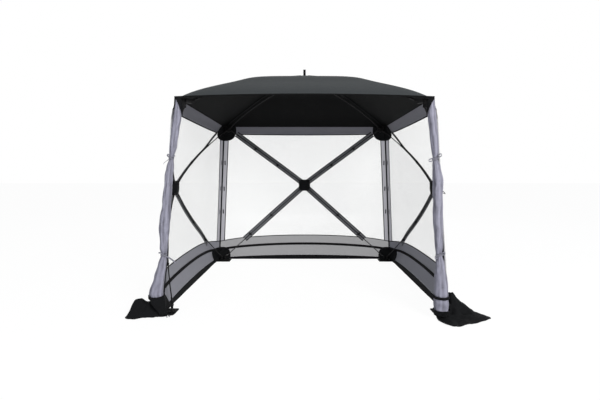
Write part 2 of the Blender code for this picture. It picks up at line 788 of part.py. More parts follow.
def build_tapes(model, face):
    """The cross of tapes inside a net, one along each pole, meeting at the hub."""
    points = [face.point(0, face.centre, face.skin(0, face.centre) - TAPE_THICKNESS - SEAM_GAP)]
    faces = []
    starts = []
    for arm in face.arms:
        side = Vector((-arm.out.y, arm.out.x)) * TAPE_WIDTH / 2
        starts.append(len(points))
        for share in levels(*TAPE_SHARES, TAPE_STEPS):
            middle = arm.hub_pin.lerp(arm.corner_pin, share)
            for k in (-1, 0, 1):
                spot = middle + k * side
                skin = min(arm.height(share) + SKIN_OFFSET, face.skin(spot.x, spot.y))
                points.append(face.point(spot.x, spot.y, skin - TAPE_THICKNESS - TAPE_ROOM))
        for row in range(TAPE_STEPS):
            for k in (0, 1):
                first = starts[-1] + 3 * row + k
                faces.append((first, first + 3, first + 4, first + 1))
    for first, after in zip(starts, starts[1:] + starts[:1]):
        faces += [(0, first, first + 1), (0, first + 1, first + 2), (0, first + 2, after)]
    model.add("tapes_" + face.name, cloth(points, faces, TAPE_THICKNESS), "grey cloth")


def build_pull_strap(model, face, name, droop):
    """A webbing loop on the outside of a hub, by which the hub is pulled out."""
    half = LOOP_LENGTH / 2
    outline = ellipse(half, LOOP_HALF, LOOP_STEPS)
    inner = ellipse(half - STRAP_THICKNESS, LOOP_HALF - STRAP_THICKNESS, LOOP_STEPS)
    form = plate(outline, STRAP_WIDTH, [inner])
    turn = Matrix.Rotation(-droop, 4, "X") @ Matrix.Rotation(-math.pi / 2, 4, "Y")
    seat = min((turn @ Vector((x, y, 0)) for x, y in outline), key=lambda spot: spot.z)
    cover = face.point(0, face.centre, face.skin(0, face.centre) + CLOTH + SEAM_GAP)
    place = Matrix.Translation(cover) @ face.axes.to_4x4()
    form = moved(form, place @ Matrix.Translation(-seat) @ turn)
    model.add(name, form, "webbing", face.point(0, face.centre, face.rise))


def front_edge(height):
    """How far the tent's front edges stand from its middle, to the side and to the front."""
    return FLOOR_HALF - FLOOR_SPREAD * height / CORNER_HEIGHT


def door_ring(side, share, inward, half, spread=None):
    """The gathered door's outline at one level, or the smooth one of a tie that stands off it."""
    edge = front_edge(share * CORNER_HEIGHT)
    widest = half * DOOR_WIDTH * (1 + DOOR_PLEAT_SHARE)
    middle_x = side * (edge - inward * DOOR_WIDTH)
    middle_y = CENTRE_Y - edge - DOOR_GAP - widest
    ring = []
    for k in range(DOOR_RING_STEPS):
        turn = 2 * math.pi * k / DOOR_RING_STEPS
        size = half * DOOR_WIDTH * (1 + DOOR_PLEAT_SHARE * math.cos(DOOR_PLEATS * turn))
        if spread is not None:
            size = widest + spread
        ring.append((middle_x + size * math.cos(turn), middle_y + size * math.sin(turn)))
    return ring


def sewn_ring(side, share, inward, half):
    """The gathered door's outline, drawn out on one side to the front edge that it is sewn to."""
    ring = door_ring(side, share, inward, half)
    edge = front_edge(share * CORNER_HEIGHT)
    seam = (side * (edge + CLOTH / 2), CENTRE_Y - edge - SEAM_GAP)
    nearest = min(range(DOOR_RING_STEPS), key=lambda k: math.dist(ring[k], seam))
    ring[nearest] = seam
    return ring


def loft(rings):
    """A closed solid through rings of points from bottom to top."""
    count = len(rings[0])
    form = bmesh.new()
    verts = [[form.verts.new(point) for point in ring] for ring in rings]
    for low, high in zip(verts, verts[1:]):
        for k in range(count):
            after = (k + 1) % count
            form.faces.new((low[k], low[after], high[after], high[k]))
    form.faces.new(verts[0][::-1])
    form.faces.new(verts[-1])
    mesh = bpy.data.meshes.new("loft")
    form.to_mesh(mesh)
    form.free()
    return outward(mesh)


def build_door(model, side, name, shares):
    """Half of the door, gathered into pleats along a front edge and drawn in where it is tied."""
    rings = []
    for share, inward, half in reversed(shares):
        tied = share in TIE_SHARES
        ring = (door_ring if tied else sewn_ring)(side, share, inward, half)
        for above in (-TIE_ROOM, TIE_ROOM) if tied else (0,):
            rings.append([(x, y, share * CORNER_HEIGHT + above) for x, y in ring])
    model.add("door_" + name, loft(rings), "door cloth")
    for label, tie in zip(("upper", "lower"), TIE_SHARES):
        waist = next(level for level in shares if level[0] == tie)
        outer = door_ring(side, *waist, SEAM_GAP + TIE_THICKNESS)
        band = plate(outer, TIE_WIDTH, [door_ring(side, *waist, SEAM_GAP)])
        band = moved(band, Matrix.Translation((0, 0, tie * CORNER_HEIGHT)))
        model.add(f"door_tie_{label}_{name}", band, "webbing")


def flap_columns(shares):
    """Places round a foot's pad and its flap's rim, each with its rises, from the foot's middle."""
    hem = PAD_HALF + FLAP_HEM
    table = [(FLAP_WIDTH * a, FLAP_DEPTH * b, FLAP_RISE * c, FLAP_RISE * d) for a, b, c, d in shares]
    table += [(0, hem, 0, 0), (-hem, hem, 0, 0), (-hem, 0, 0, 0), (-hem, -hem, 0, 0)]
    columns = []
    for first, after in zip(table, table[1:] + table[:1]):
        for k in range(FLAP_STEPS):
            place = [a + (b - a) * k / FLAP_STEPS for a, b in zip(first, after)]
            fold = 1 - FLAP_FOLD_SHARE * math.sin(math.pi * k / FLAP_STEPS)
            columns.append((place[0], place[1], place[2] * fold, place[3] * fold))
    return columns


def build_flap(model, corner, side, x, y, shares):
    """A foot's pad that runs out into a loose flap, thrown up in folds on the ground."""
    columns = flap_columns(shares)
    form = bmesh.new()
    layers = []
    for thickness in (0, PAD_THICKNESS):
        rings = []
        for share in levels(0, 1, FLAP_RINGS):
            ring = []
            for a, b, middle, rim in columns:
                inner = min((CORNER_INSET + FLAP_HEM) / max(abs(a), abs(b)), FLAP_FLAT_SHARE)
                out = inner + (1 - inner) * share
                rise = middle * math.sin(math.pi * share) + rim * share**2
                ring.append(form.verts.new((x + side * a * out, y + b * out, rise + thickness)))
            rings.append(ring)
        layers.append(rings)
    count = len(columns)
    for rings in layers:
        form.faces.new(rings[0])
        for low, high in zip(rings, rings[1:]):
            for k in range(count):
                after = (k + 1) % count
                form.faces.new((low[k], low[after], high[after], high[k]))
    low, high = (rings[-1] for rings in layers)
    for k in range(count):
        after = (k + 1) % count
        form.faces.new((low[k], low[after], high[after], high[k]))
    mesh = bpy.data.meshes.new("flap")
    form.to_mesh(mesh)
    form.free()
    model.add("foot_pad_" + corner, outward(mesh), "black cloth")


def build_pad(model, corner, feet):
    """The cloth under a foot, which at the front spreads into a ground flap."""
    side = 1 if corner.endswith("right") else -1
    x = side * (sum(abs(f.x) for f in feet) / len(feet))
    y = sum(f.y for f in feet) / len(feet)
    if corner.startswith("front"):
        build_flap(model, corner, side, x, y, FLAP_LEFT_SHARES if side < 0 else FLAP_RIGHT_SHARES)
        return
    form = block((x - PAD_HALF, y - PAD_HALF, 0), (x + PAD_HALF, y + PAD_HALF, PAD_THICKNESS))
    model.add("foot_pad_" + corner, form, "black cloth")


def main():
    clear_scene()
    model = Model()
    build_hub(model, ROOF, "roof_hub")
    ends = {(1, 1): "back_right", (-1, 1): "back_left", (-1, -1): "front_left", (1, -1): "front_right"}
    ear_arms = {}
    for wall in WALLS.values():
        build_hub(model, wall, wall.name + "_hub")
    for arm in ROOF.arms:
        build_pole(model, arm, "roof_pole_" + ends[(arm.across, arm.down)])
    for wall in WALLS.values():
        for arm in wall.arms:
            build_pole(model, arm, "pole_" + arm_name(arm))
            if arm.down < 0:
                build_ear(model, arm, "ear_" + arm_name(arm))
                ear_arms.setdefault(corner_of(arm), []).append(arm)
    for arm in ROOF.arms:
        corner = ends[(arm.across, arm.down)]
        build_top_corner(model, arm, ear_arms[corner], "top_corner_" + corner)
    for wall in (WALLS["left"], WALLS["right"]):
        for arm in wall.arms:
            if arm.down > 0:
                corner = corner_of(arm)
                latch = [a for a in WALLS["back"].arms if a.down > 0 and corner_of(a) == corner]
                build_foot(model, arm, latch[0] if latch else None, "foot_" + corner)
                feet = [a.frame(at_corner=True).translation for a in (arm, *latch)]
                build_pad(model, corner, feet)
    build_roof_canopy(model)
    build_pull_strap(model, ROOF, "pull_strap_roof", 0.0)
    for wall in WALLS.values():
        build_net(model, wall)
        build_border(model, wall)
        build_tapes(model, wall)
        build_pull_strap(model, wall, "pull_strap_" + wall.name, WALL_LOOP_DROOP)
    build_door(model, -1, "left", DOOR_LEFT_SHARES)
    build_door(model, 1, "right", DOOR_RIGHT_SHARES)


def corner_of(arm):
    """The tent corner that a wall's arm runs to."""
    spot = arm.face.point(arm.corner_pin.x, arm.corner_pin.y, 0)
    depth = "back" if spot.y > CENTRE_Y else "front"
    return depth + ("_right" if spot.x > 0 else "_left")


def arm_name(arm):
    level = "upper" if arm.down < 0 else "lower"
    depth, side = corner_of(arm).split("_")
    return f"{arm.face.name}_{level}_{side if arm.face.name == 'back' else depth}"


main()
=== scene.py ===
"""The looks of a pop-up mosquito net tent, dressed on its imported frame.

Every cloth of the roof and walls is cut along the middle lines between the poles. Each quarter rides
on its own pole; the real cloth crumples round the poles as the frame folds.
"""

from math import atan2, cos, exp, hypot, pi, radians, sin, sqrt, tan

import bpy
from mathutils import Matrix, Vector, noise


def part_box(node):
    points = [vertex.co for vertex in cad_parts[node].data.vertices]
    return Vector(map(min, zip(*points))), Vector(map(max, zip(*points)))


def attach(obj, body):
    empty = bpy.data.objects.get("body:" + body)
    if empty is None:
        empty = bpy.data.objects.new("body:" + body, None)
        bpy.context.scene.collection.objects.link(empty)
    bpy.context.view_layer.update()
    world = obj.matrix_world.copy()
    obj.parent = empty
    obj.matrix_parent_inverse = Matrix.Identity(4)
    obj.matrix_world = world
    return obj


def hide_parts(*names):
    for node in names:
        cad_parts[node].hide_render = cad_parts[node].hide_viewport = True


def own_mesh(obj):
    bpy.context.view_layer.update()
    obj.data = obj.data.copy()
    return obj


MM = 0.001
TURN = 2 * pi
UP = Vector((0, 0, 1))

# The tent as it stands
CORNER_HEIGHT = 1.760
TOP_HALF = 1.0475
FLOOR_SPREAD = 0.1025
FLOOR_HALF = TOP_HALF + FLOOR_SPREAD
LEAN = atan2(FLOOR_SPREAD, CORNER_HEIGHT)

# The folding frame
POLE_PITCH = radians(16.0)
POLE_BOW = 0.056
ROOF_PIN_HEIGHT = 1.752
CORNER_INSET = 0.110
EAR_INSET = 0.0475
EAR_HEIGHT = 1.700
WALL_HUB_DROP = 0.725
FOOT_PIN_HEIGHT = 0.060
ROOF_HUB_PIN = 0.0354
WALL_HUB_PIN = 0.040
ROD_RADIUS = 5.5 * MM
SKIN_CLEARANCE = 15.5 * MM
POLE_SPAN = TOP_HALF - CORNER_INSET - WALL_HUB_PIN
FOOT_PIN_SPAN = FLOOR_HALF - CORNER_INSET
SKIN_OFFSET = ROD_RADIUS + SKIN_CLEARANCE
QUARTER_TURNS = {"left": 1, "back": 0, "right": -1}
CORNERS = ((1, 1), (-1, 1), (-1, -1), (1, -1))
SIGN = {"left": -1, "right": 1}

# How the cloth lies over the poles
SKIN_SETTLE_SHARE = 0.55
HUB_LIFT = 12.0 * MM
HUB_LIFT_SHARE = 0.15
ROOF_LIFT = 4.0 * MM
RIDGE_POWER = 20
SAG = 12.0 * MM
ROOF_CROWN = 40.0 * MM
ROOF_CROWN_SHARE = 0.52
ROOF_CROWN_SPREAD_SHARE = 0.26
ROOF_PEAK = 18.0 * MM
ROOF_PEAK_SHARE = 0.45
FRONT_BOW = 0.022

# The bands, strips and tapes of the walls
HEADER_DEPTH = 0.090
HEADER_SAG = 0.012
BAND_HEIGHT = 0.250
BAND_RISE = 0.064
BAND_LINE_HEIGHT = 0.135
BAND_LINE_RISE = 0.066
HEM_HEIGHT = 0.024
HEM_RISE = 0.032
GROUND_GAP = 5.0 * MM
SIDE_STRIP = 0.056
TAPE_WIDTH = 76.0 * MM
SIDE_TAPE_WIDTH = 44.0 * MM
TAPE_EDGE = 10.0 * MM
# The width of the black strip down each tape's middle, a painted shadow of the rod
TAPE_ROD_SHADOW = 12.0 * MM
BINDING = 10.0 * MM
WEBBING = 30.0 * MM
CLOTH = 1.0 * MM
PAD_CLOTH = 1.2 * MM
STRAP = 1.6 * MM
THICK_STRAP = 2.4 * MM

# The photograph's camera
PHOTO_WIDTH = 600
FOCAL_PIXELS = 421.5
CENTRE_PIXEL = 304.5
CAMERA_DISTANCE = 4.486
CAMERA_HEIGHT = 1.126
CAMERA_PITCH = radians(-3.29)

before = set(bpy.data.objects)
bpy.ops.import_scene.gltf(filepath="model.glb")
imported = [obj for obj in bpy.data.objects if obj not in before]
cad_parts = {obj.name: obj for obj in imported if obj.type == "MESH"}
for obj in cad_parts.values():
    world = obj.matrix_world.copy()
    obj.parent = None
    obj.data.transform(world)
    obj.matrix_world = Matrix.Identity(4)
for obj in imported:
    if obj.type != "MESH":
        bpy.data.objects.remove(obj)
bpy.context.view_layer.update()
ROOF_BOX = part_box("roof_canopy")
CENTRE_Y = (ROOF_BOX[0][1] + ROOF_BOX[1][1]) / 2


def smooth(x):
    x = min(max(x, 0.0), 1.0)
    return x * x * (3 - 2 * x)


def mix(a, b, share):
    return a + (b - a) * share


def levels(start, end, count):
    return [mix(start, end, k / count) for k in range(count + 1)]


def metres(*rows):
    """Rows of lengths given in millimetres."""
    return [tuple(length / 1000 for length in row) for row in rows]


def crumple(point, scale, seed=0.0):
    """Smooth noise from -1 to 1."""
    return noise.noise(Vector((point[0] * scale + seed, point[1] * scale - seed, point[2] * scale)))


class Arm:
    """One pole's place in its face, with the body that it rides on."""

    def __init__(self, face, across, down, corner):
        self.face = face
        self.across = across
        self.down = down
        self.level = "upper" if down < 0 else "lower"
        self.hub_pin = Vector((across * face.hub_pin, face.centre + down * face.hub_pin))
        self.corner_pin = Vector(corner)
        run = self.corner_pin - self.hub_pin
        self.reach = run.length
        self.out = run.normalized()
        self.side = Vector((-self.out.y, self.out.x))
        spot = face.point(*self.corner_pin, 0)
        depth = "back" if spot.y > CENTRE_Y else "front"
        self.corner = depth + ("_right" if spot.x > 0 else "_left")
        part = self.corner.split("_")[1 if face.name == "back" else 0]
        roof = face.name == "roof"
        self.name = self.corner if roof else f"{face.name}_{self.level}_{part}"
        self.body = ("roof_pole_" if roof else "pole_") + self.name

    def height(self, share):
        """How far the rod's middle stands outside the plane of the corner pins."""
        return self.face.rise * (1 - share) + 4 * POLE_BOW * share * (1 - share)

    def spot(self, share, beside=0.0):
        """The place in the face beside the pole at a share of its length."""
        return self.hub_pin.lerp(self.corner_pin, share) + self.side * beside


class Face:
    """The roof or a wall: across, down and outward axes, and where its hub, pins and cloth are."""

    def __init__(self, name, axes, origin, centre, hub_pin, rise, corners, edges, edge_lift):
        self.name = name
        self.axes = axes
        self.across = axes @ Vector((1, 0, 0))
        self.outward = axes @ UP
        self.origin = origin
        self.centre = centre
        self.hub_pin = hub_pin
        self.rise = rise
        self.top, self.bottom, self.top_half, self.bottom_half = edges
        self.edge_lift = edge_lift
        self.arms = [Arm(self, across, down, corner) for (across, down), corner in zip(CORNERS, corners)]

    def point(self, across, down, out):
        return self.origin + self.axes @ Vector((across, down, out))

    def half_width(self, down):
        share = (down - self.top) / (self.bottom - self.top)
        return mix(self.top_half, self.bottom_half, share)

    def shares(self, across, down):
        """Shares of the way from the hub to the side edge and to the top or bottom edge."""
        beside = min(abs(across) / self.half_width(down), 1.0)
        extent = self.top if down < self.centre else self.bottom
        return beside, min((down - self.centre) / (extent - self.centre), 1.0)

    def sag(self, share, between_poles):
        """How far the cloth hangs in between the poles, or on the roof stands up from them."""
        if self.name != "roof":
            return SAG * between_poles * 4 * share * (1 - share)
        crown = ROOF_CROWN * exp(-(((share - ROOF_CROWN_SHARE) / ROOF_CROWN_SPREAD_SHARE) ** 2))
        return -crown - ROOF_PEAK * (1 - smooth(share / ROOF_PEAK_SHARE))

    def skin(self, across, down):
        """How far the cloth stands outside the plane of the pins, over the poles and between them."""
        beside, above = self.shares(across, down)
        share = min((beside**RIDGE_POWER + above**RIDGE_POWER) ** (1 / RIDGE_POWER), 1.0)
        arm = self.arms[-1]
        start = hypot(self.hub_pin, self.hub_pin)
        corner = hypot(self.top_half, self.centre - self.top)
        rest = arm.height((share * corner - start) / arm.reach)
        end = arm.height((corner - start) / arm.reach)
        lift = self.edge_lift - end - SKIN_OFFSET
        settle = smooth((share - SKIN_SETTLE_SHARE) / (1 - SKIN_SETTLE_SHARE))
        dome = HUB_LIFT * (1 - smooth(share / HUB_LIFT_SHARE))
        sag = self.sag(share, smooth(abs(beside - above) / max(beside, above, MM)))
        return rest + SKIN_OFFSET + lift * settle + dome - sag

    def on_skin(self, across, down, out=0.0):
        return self.point(across, down, self.skin(across, down) + out)


def make_roof():
    reach = POLE_SPAN + ROOF_HUB_PIN
    corners = [(i * reach, j * reach) for i, j in CORNERS]
    rise = hypot(POLE_SPAN, POLE_SPAN) * tan(POLE_PITCH)
    origin = Vector((0, CENTRE_Y, ROOF_PIN_HEIGHT))
    edges = (-TOP_HALF, TOP_HALF, TOP_HALF, TOP_HALF)
    lift = CORNER_HEIGHT - ROOF_PIN_HEIGHT + ROOF_LIFT
    return Face("roof", Matrix.Identity(3), origin, 0.0, ROOF_HUB_PIN, rise, corners, edges, lift)


def make_wall(name, quarter):
    """The back wall turned by quarters: across runs along the top edge and down leans outwards."""
    turn = Matrix.Rotation(quarter * pi / 2, 3, "Z")
    sine, cosine = sin(LEAN), cos(LEAN)
    axes = turn @ Matrix(((1, 0, 0), (0, sine, cosine), (0, -cosine, sine)))
    origin = Vector((0, CENTRE_Y, EAR_HEIGHT)) + turn @ Vector((0, TOP_HALF - EAR_INSET, 0))
    reach = POLE_SPAN + WALL_HUB_PIN
    foot = (EAR_HEIGHT - FOOT_PIN_HEIGHT) / cosine
    corners = [(i * FOOT_PIN_SPAN, foot) if j > 0 else (i * reach, 0) for i, j in CORNERS]
    rise = hypot(POLE_SPAN, WALL_HUB_DROP - WALL_HUB_PIN) * tan(POLE_PITCH)
    above = CORNER_HEIGHT - EAR_HEIGHT
    top = EAR_INSET * sine - above * cosine
    lift = EAR_INSET * cosine + above * sine
    edges = (top, top + CORNER_HEIGHT / cosine, TOP_HALF, FLOOR_HALF)
    return Face(name, axes, origin, WALL_HUB_DROP, WALL_HUB_PIN, rise, corners, edges, lift)


ROOF = make_roof()
WALLS = {name: make_wall(name, quarter) for name, quarter in QUARTER_TURNS.items()}


def front_arm(side, level):
    """The pole of a side wall that ends at the tent's front."""
    return next(a for a in WALLS[side].arms if a.name == f"{side}_{level}_front")


# Materials


def add_node(tree, kind, inputs=None, **settings):
    """A new node, its inputs set to values or linked to other nodes' outputs."""
    made = tree.nodes.new(kind)
    for key, value in settings.items():
        setattr(made, key, value)
    for key, value in (inputs or {}).items():
        if isinstance(value, bpy.types.NodeSocket):
            tree.links.new(value, made.inputs[key])
        else:
            made.inputs[key].default_value = value
    return made


def shade(colour, factor):
    """A colour at a factor of its strength, with its alpha."""
    return *(min(c * factor, 1.0) for c in colour), 1


# A colour mix node's sockets
MIX_FACTOR, MIX_FIRST, MIX_SECOND, MIX_RESULT = 0, 6, 7, 2


class Shader:
    """A material's node tree with short calls for the nodes used here."""

    def __init__(self, name, roughness, sheen=0.0, gloss=0.3):
        self.material = bpy.data.materials.new(name)
        self.material.use_nodes = True
        self.tree = self.material.node_tree
        self.surface = self.tree.nodes["Principled BSDF"]
        self.set("Roughness", roughness)
        self.set("Specular IOR Level", gloss)
        self.set("Sheen Weight", sheen)

    def set(self, key, value):
        self.surface.inputs[key].default_value = value

    def node(self, kind, inputs=None, **settings):
        return add_node(self.tree, kind, inputs, **settings)

    def math(self, operation, first, second=0.0):
        return self.node("ShaderNodeMath", {0: first, 1: second}, operation=operation).outputs[0]

    def place(self, scale=(1, 1, 1), uv=False):
        source = self.node("ShaderNodeTexCoord").outputs["UV" if uv else "Object"]
        return self.node("ShaderNodeMapping", {"Vector": source, "Scale": scale}).outputs["Vector"]

    def cloud(self, place, scale, detail=3.0, roughness=0.55):
        inputs = {"Vector": place, "Scale": scale, "Detail": detail, "Roughness": roughness}
        return self.node("ShaderNodeTexNoise", inputs).outputs["Fac"]

    def threads(self, pitch):
        """Ridges across both directions of the cloth, from 0 between threads to 1 on them."""
        split = self.node("ShaderNodeSeparateXYZ", {"Vector": self.place(uv=True)})
        turns = [self.math("MULTIPLY", split.outputs[axis], pi / pitch) for axis in ("X", "Y")]
        return [self.math("ABSOLUTE", self.math("SINE", turn)) for turn in turns]

    def blend(self, share, first, second):
        inputs = {MIX_FACTOR: share, MIX_FIRST: first, MIX_SECOND: second}
        return self.node("ShaderNodeMix", inputs, data_type="RGBA").outputs[MIX_RESULT]

    def mottled(self, where, colour, low, high):
        """A colour from low to high times its strength."""
        return self.blend(where, shade(colour, low), shade(colour, high))

    def stained(self, tone, where, amount, colour):
        """A tone drawn to a colour by an amount where it applies."""
        return self.blend(self.math("MULTIPLY", where, amount), tone, colour)

    def spread(self, value, low, high, start=0.0, end=1.0):
        """A value from start to end, spread from low to high."""
        inputs = {"Value": value, "From Min": start, "From Max": end, "To Min": low, "To Max": high}
        return self.node("ShaderNodeMapRange", inputs).outputs[0]

    def bump(self, height, distance, strength=1.0, after=None):
        inputs = {"Height": height, "Distance": distance, "Strength": strength}
        if after:
            inputs["Normal"] = after
        return self.node("ShaderNodeBump", inputs).outputs["Normal"]

    def through(self, colour):
        return self.node("ShaderNodeBsdfTranslucent", {"Color": (*colour, 1)}).outputs[0]

    def mixed(self, share, first, second):
        return self.node("ShaderNodeMixShader", {0: share, 1: first, 2: second}).outputs[0]

    def finish(self, tone=None, normal=None, rough=None, surface=None):
        """Links the colour, bumps and roughness to the shader, and a surface to the output."""
        for key, socket in (("Base Color", tone), ("Normal", normal), ("Roughness", rough)):
            if socket:
                self.tree.links.new(socket, self.surface.inputs[key])
        if surface:
            self.tree.links.new(surface, self.tree.nodes["Material Output"].inputs["Surface"])
        return self.material


CLOTH_GLOSS = 0.1
HARD_GLOSS = 0.15
WEBBING_GLOSS = 0.06
STEEL_GLOSS = 0.5
BACKING_SHARE = 0.42
NET_COVER_SHARES = (0.20, 0.66)


def woven(
    name,
    colour,
    pitch=1.2 * MM,
    roughness=0.85,
    sheen=0.05,
    mottle=0.10,
    crease=1.2 * MM,
    backing=None,
    gaps=0.0,
    creases=0.0,
):
    """Plain woven cloth: threads both ways, soft mottling and fine creases, and where creases is set,
    painted shade in the valleys of the folds.
    """
    shader = Shader(name, roughness, sheen, CLOTH_GLOSS)
    solid = shader.place()
    weave = shader.math("MAXIMUM", *shader.threads(pitch))
    fine = shader.cloud(solid, 90.0)
    tone = shader.mottled(shader.cloud(solid, 3.5, 4.0), colour, 1 - mottle, 1 + mottle)
    tone = shader.stained(tone, weave, 0.18, shade(colour, 0.55))
    tone = shader.stained(tone, fine, 0.25, shade(colour, 1.25))
    normal = shader.bump(shader.cloud(solid, 14.0, 6.0, 0.6), crease * 4, 0.5)
    # Painted shade: the cloth darkens in the valleys of its folds, read from the fold attribute; the rumple
    # noise also darkens it and bumps it.
    if creases:
        fold = shader.node("ShaderNodeAttribute", attribute_name="fold").outputs["Fac"]
        tone = shader.blend(shader.spread(fold, creases, 0.0, 0.30), tone, shade(colour, 0.16))
        rumple = shader.cloud(solid, 13.0, 3.0, 0.5)
        tone = shader.stained(tone, rumple, 0.4, shade(colour, 0.6))
        normal = shader.bump(rumple, 30 * MM, 0.8, normal)
    normal = shader.bump(weave, pitch * 0.35, 0.5, normal)
    rough = shader.spread(fine, roughness - 0.08, roughness + 0.06)
    shader.set("Alpha", 1 - gaps)
    both = None
    if backing:
        both = shader.mixed(BACKING_SHARE, shader.surface.outputs[0], shader.through(backing))
    return shader.finish(tone, normal, rough, both)


def netting(name, colour, pitch):
    """Fine net: round threads with open holes between them, seen as a pale veil from further off."""
    shader = Shader(name, 0.9, 0.05)
    thread = shader.math("MAXIMUM", *[shader.math("SUBTRACT", 1.0, row) for row in shader.threads(pitch)])
    tone = shader.mottled(shader.cloud(shader.place(), 2.2), colour, 0.97, 1.02)
    cover = shader.spread(thread, *NET_COVER_SHARES, 0.25, 0.6)
    veil = shader.mixed(0.5, shader.surface.outputs[0], shader.through(colour))
    clear = shader.node("ShaderNodeBsdfTransparent").outputs[0]
    return shader.finish(tone, shader.bump(thread, pitch * 0.4, 0.4), None, shader.mixed(cover, clear, veil))


def webbing(name, colour, pitch=1.6 * MM):
    """Narrow ribbed webbing."""
    shader = Shader(name, 0.9, 0.0, WEBBING_GLOSS)
    rib = shader.math("MULTIPLY", *shader.threads(pitch))
    tone = shader.mottled(shader.cloud(shader.place(), 30.0), colour, 0.8, 1.5)
    tone = shader.stained(tone, rib, 0.3, shade(colour, 2.4))
    return shader.finish(tone, shader.bump(rib, 0.4 * MM, 0.6))


def moulded(name, colour, roughness, grain=220.0):
    """Moulded plastic with a fine grain and worn lighter spots."""
    shader = Shader(name, roughness, 0.0, HARD_GLOSS)
    solid = shader.place()
    broad = shader.cloud(solid, 18.0, 4.0)
    tone = shader.mottled(broad, colour, 0.75, 1.5)
    normal = shader.bump(shader.cloud(solid, grain, 2.0), 0.3 * MM, 0.35)
    return shader.finish(tone, normal, shader.spread(broad, roughness - 0.1, roughness + 0.15))


def drawn_rod(name, colour):
    """Pultruded fibreglass: fine streaks under a satin coat."""
    shader = Shader(name, 0.45, 0.0, HARD_GLOSS)
    streak = shader.cloud(shader.place((40, 40, 40)), 6.0, 5.0)
    shader.set("Coat Weight", 0.08)
    return shader.finish(shader.mottled(streak, colour, 0.7, 1.8), shader.bump(streak, 0.2 * MM, 0.3))


def steel(name, colour):
    """Plated steel wire with fine drawn streaks and duller spots."""
    shader = Shader(name, 0.3, 0.0, STEEL_GLOSS)
    shader.set("Metallic", 1.0)
    spots = shader.cloud(shader.place(), 60.0, 4.0)
    return shader.finish(shader.mottled(spots, colour, 0.7, 1.0), rough=shader.spread(spots, 0.2, 0.45))


# Each cloth's colour, thread pitch, roughness, sheen and mottling
PAINT = {
    "roof": woven("roof outside", (0.037, 0.042, 0.045), 1.1 * MM, 0.8, 0.03),
    "roof_inside": woven("roof inside", (0.0042, 0.0045, 0.0048), 1.1 * MM, 0.85, 0.0, 0.15),
    "net": netting("white net", (0.90, 0.91, 0.91), 1.8 * MM),
    "grey": woven("grey band", (0.270, 0.272, 0.308)),
    "open_grey": woven("open grey band", (0.118, 0.118, 0.131), gaps=0.26),
    "header": woven("grey header", (0.200, 0.200, 0.228)),
    "strip": woven("corner strip", (0.330, 0.325, 0.355), mottle=0.08, backing=(0.48, 0.48, 0.52)),
    "tape": woven("pole tape", (0.160, 0.162, 0.176)),
    # The door's creases value sets how deep its painted shade in the fold valleys is.
    "door": woven("door cloth", (0.322, 0.320, 0.400), 1.0 * MM, 0.7, 0.08, 0.12, 3.5 * MM, creases=0.95),
    "black": woven("black cloth", (0.0052, 0.0056, 0.0064), 1.3 * MM, 0.85, 0.0, 0.25, 2.0 * MM),
    "webbing": webbing("black webbing", (0.0060, 0.0060, 0.0068)),
    "grey_webbing": webbing("grey webbing", (0.16, 0.16, 0.19)),
    "plastic": moulded("hub plastic", (0.008, 0.008, 0.0085), 0.6),
    "rod": drawn_rod("fibreglass rod", (0.0060, 0.0060, 0.0065)),
    "steel": steel("plated steel", (0.55, 0.55, 0.56)),
}


# Meshes


def add_object(name, data):
    item = bpy.data.objects.new(name, data)
    bpy.context.scene.collection.objects.link(item)
    return item


def new_piece(name, paint, rows, flat=None):
    """A piece through rows of points, with each point's place on the flat cloth as its UV.

    paint is one material's key, or the keys of the outside and the inside.
    """
    count = len(rows[0])
    faces = []
    for low in range(0, (len(rows) - 1) * count, count):
        for j in range(low, low + count - 1):
            faces.append((j, j + 1, j + count + 1, j + count))
    mesh = bpy.data.meshes.new(name)
    mesh.from_pydata([tuple(point) for row in rows for point in row], [], faces)
    if flat:
        places = [place for row in flat for place in row]
        layer = mesh.uv_layers.new(name="cloth")
        for loop in mesh.loops:
            layer.data[loop.index].uv = places[loop.vertex_index]
    mesh.validate()
    item = add_object(name, mesh)
    paints = [paint] if isinstance(paint, str) else paint
    for key in paints:
        mesh.materials.append(PAINT[key])
    mesh.shade_smooth()
    return item


def thicken(item, thickness, offset=1.0, inner=None):
    solid = item.modifiers.new("cloth", "SOLIDIFY")
    solid.thickness = thickness
    solid.offset = offset
    if inner is not None:
        solid.material_offset = inner
        solid.material_offset_rim = inner
    return item


def face_outwards(item, way):
    """Turns an open sheet's faces to one side."""
    if sum((p.normal.dot(way) * p.area for p in item.data.polygons), 0.0) < 0:
        item.data.flip_normals()


def cloth(name, paint, outer, inner, place, way=None, thickness=0.0):
    """A cloth piece through place(u, v), which gives a point and its place on the flat cloth."""
    grid = [[place(u, v) for v in inner] for u in outer]
    rows, flat = ([[pair[k] for pair in row] for row in grid] for k in (0, 1))
    item = new_piece(name, paint, rows, flat)
    if way:
        face_outwards(item, way)
    if thickness:
        thicken(item, thickness)
    return item


def ribbon(name, points, wide, width, thickness, paint):
    """A flat strap through points, wide being its width's direction."""
    half = Vector(wide).normalized() * width / 2
    rows, flat = [], []
    run = 0.0
    for k, point in enumerate(points):
        run += (point - points[k - 1]).length if k else 0.0
        rows.append([point - half, point, point + half])
        flat.append([(-width / 2, run), (0, run), (width / 2, run)])
    return thicken(new_piece(name, paint, rows, flat), thickness, 0.0)


def dress(item, arm):
    """Lets a cloth piece ride on its pole."""
    anchor = arm.face.point(*arm.hub_pin, 0)
    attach(item, arm.body)
    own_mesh(item)
    return item


def polygon_area(spots):
    return abs(sum(a.x * b.y - b.x * a.y for a, b in zip(spots, spots[1:] + spots[:1]))) / 2


def extent(spots):
    """The width and length of a list of flat places."""
    return tuple(max(s[k] for s in spots) - min(s[k] for s in spots) for k in (0, 1))


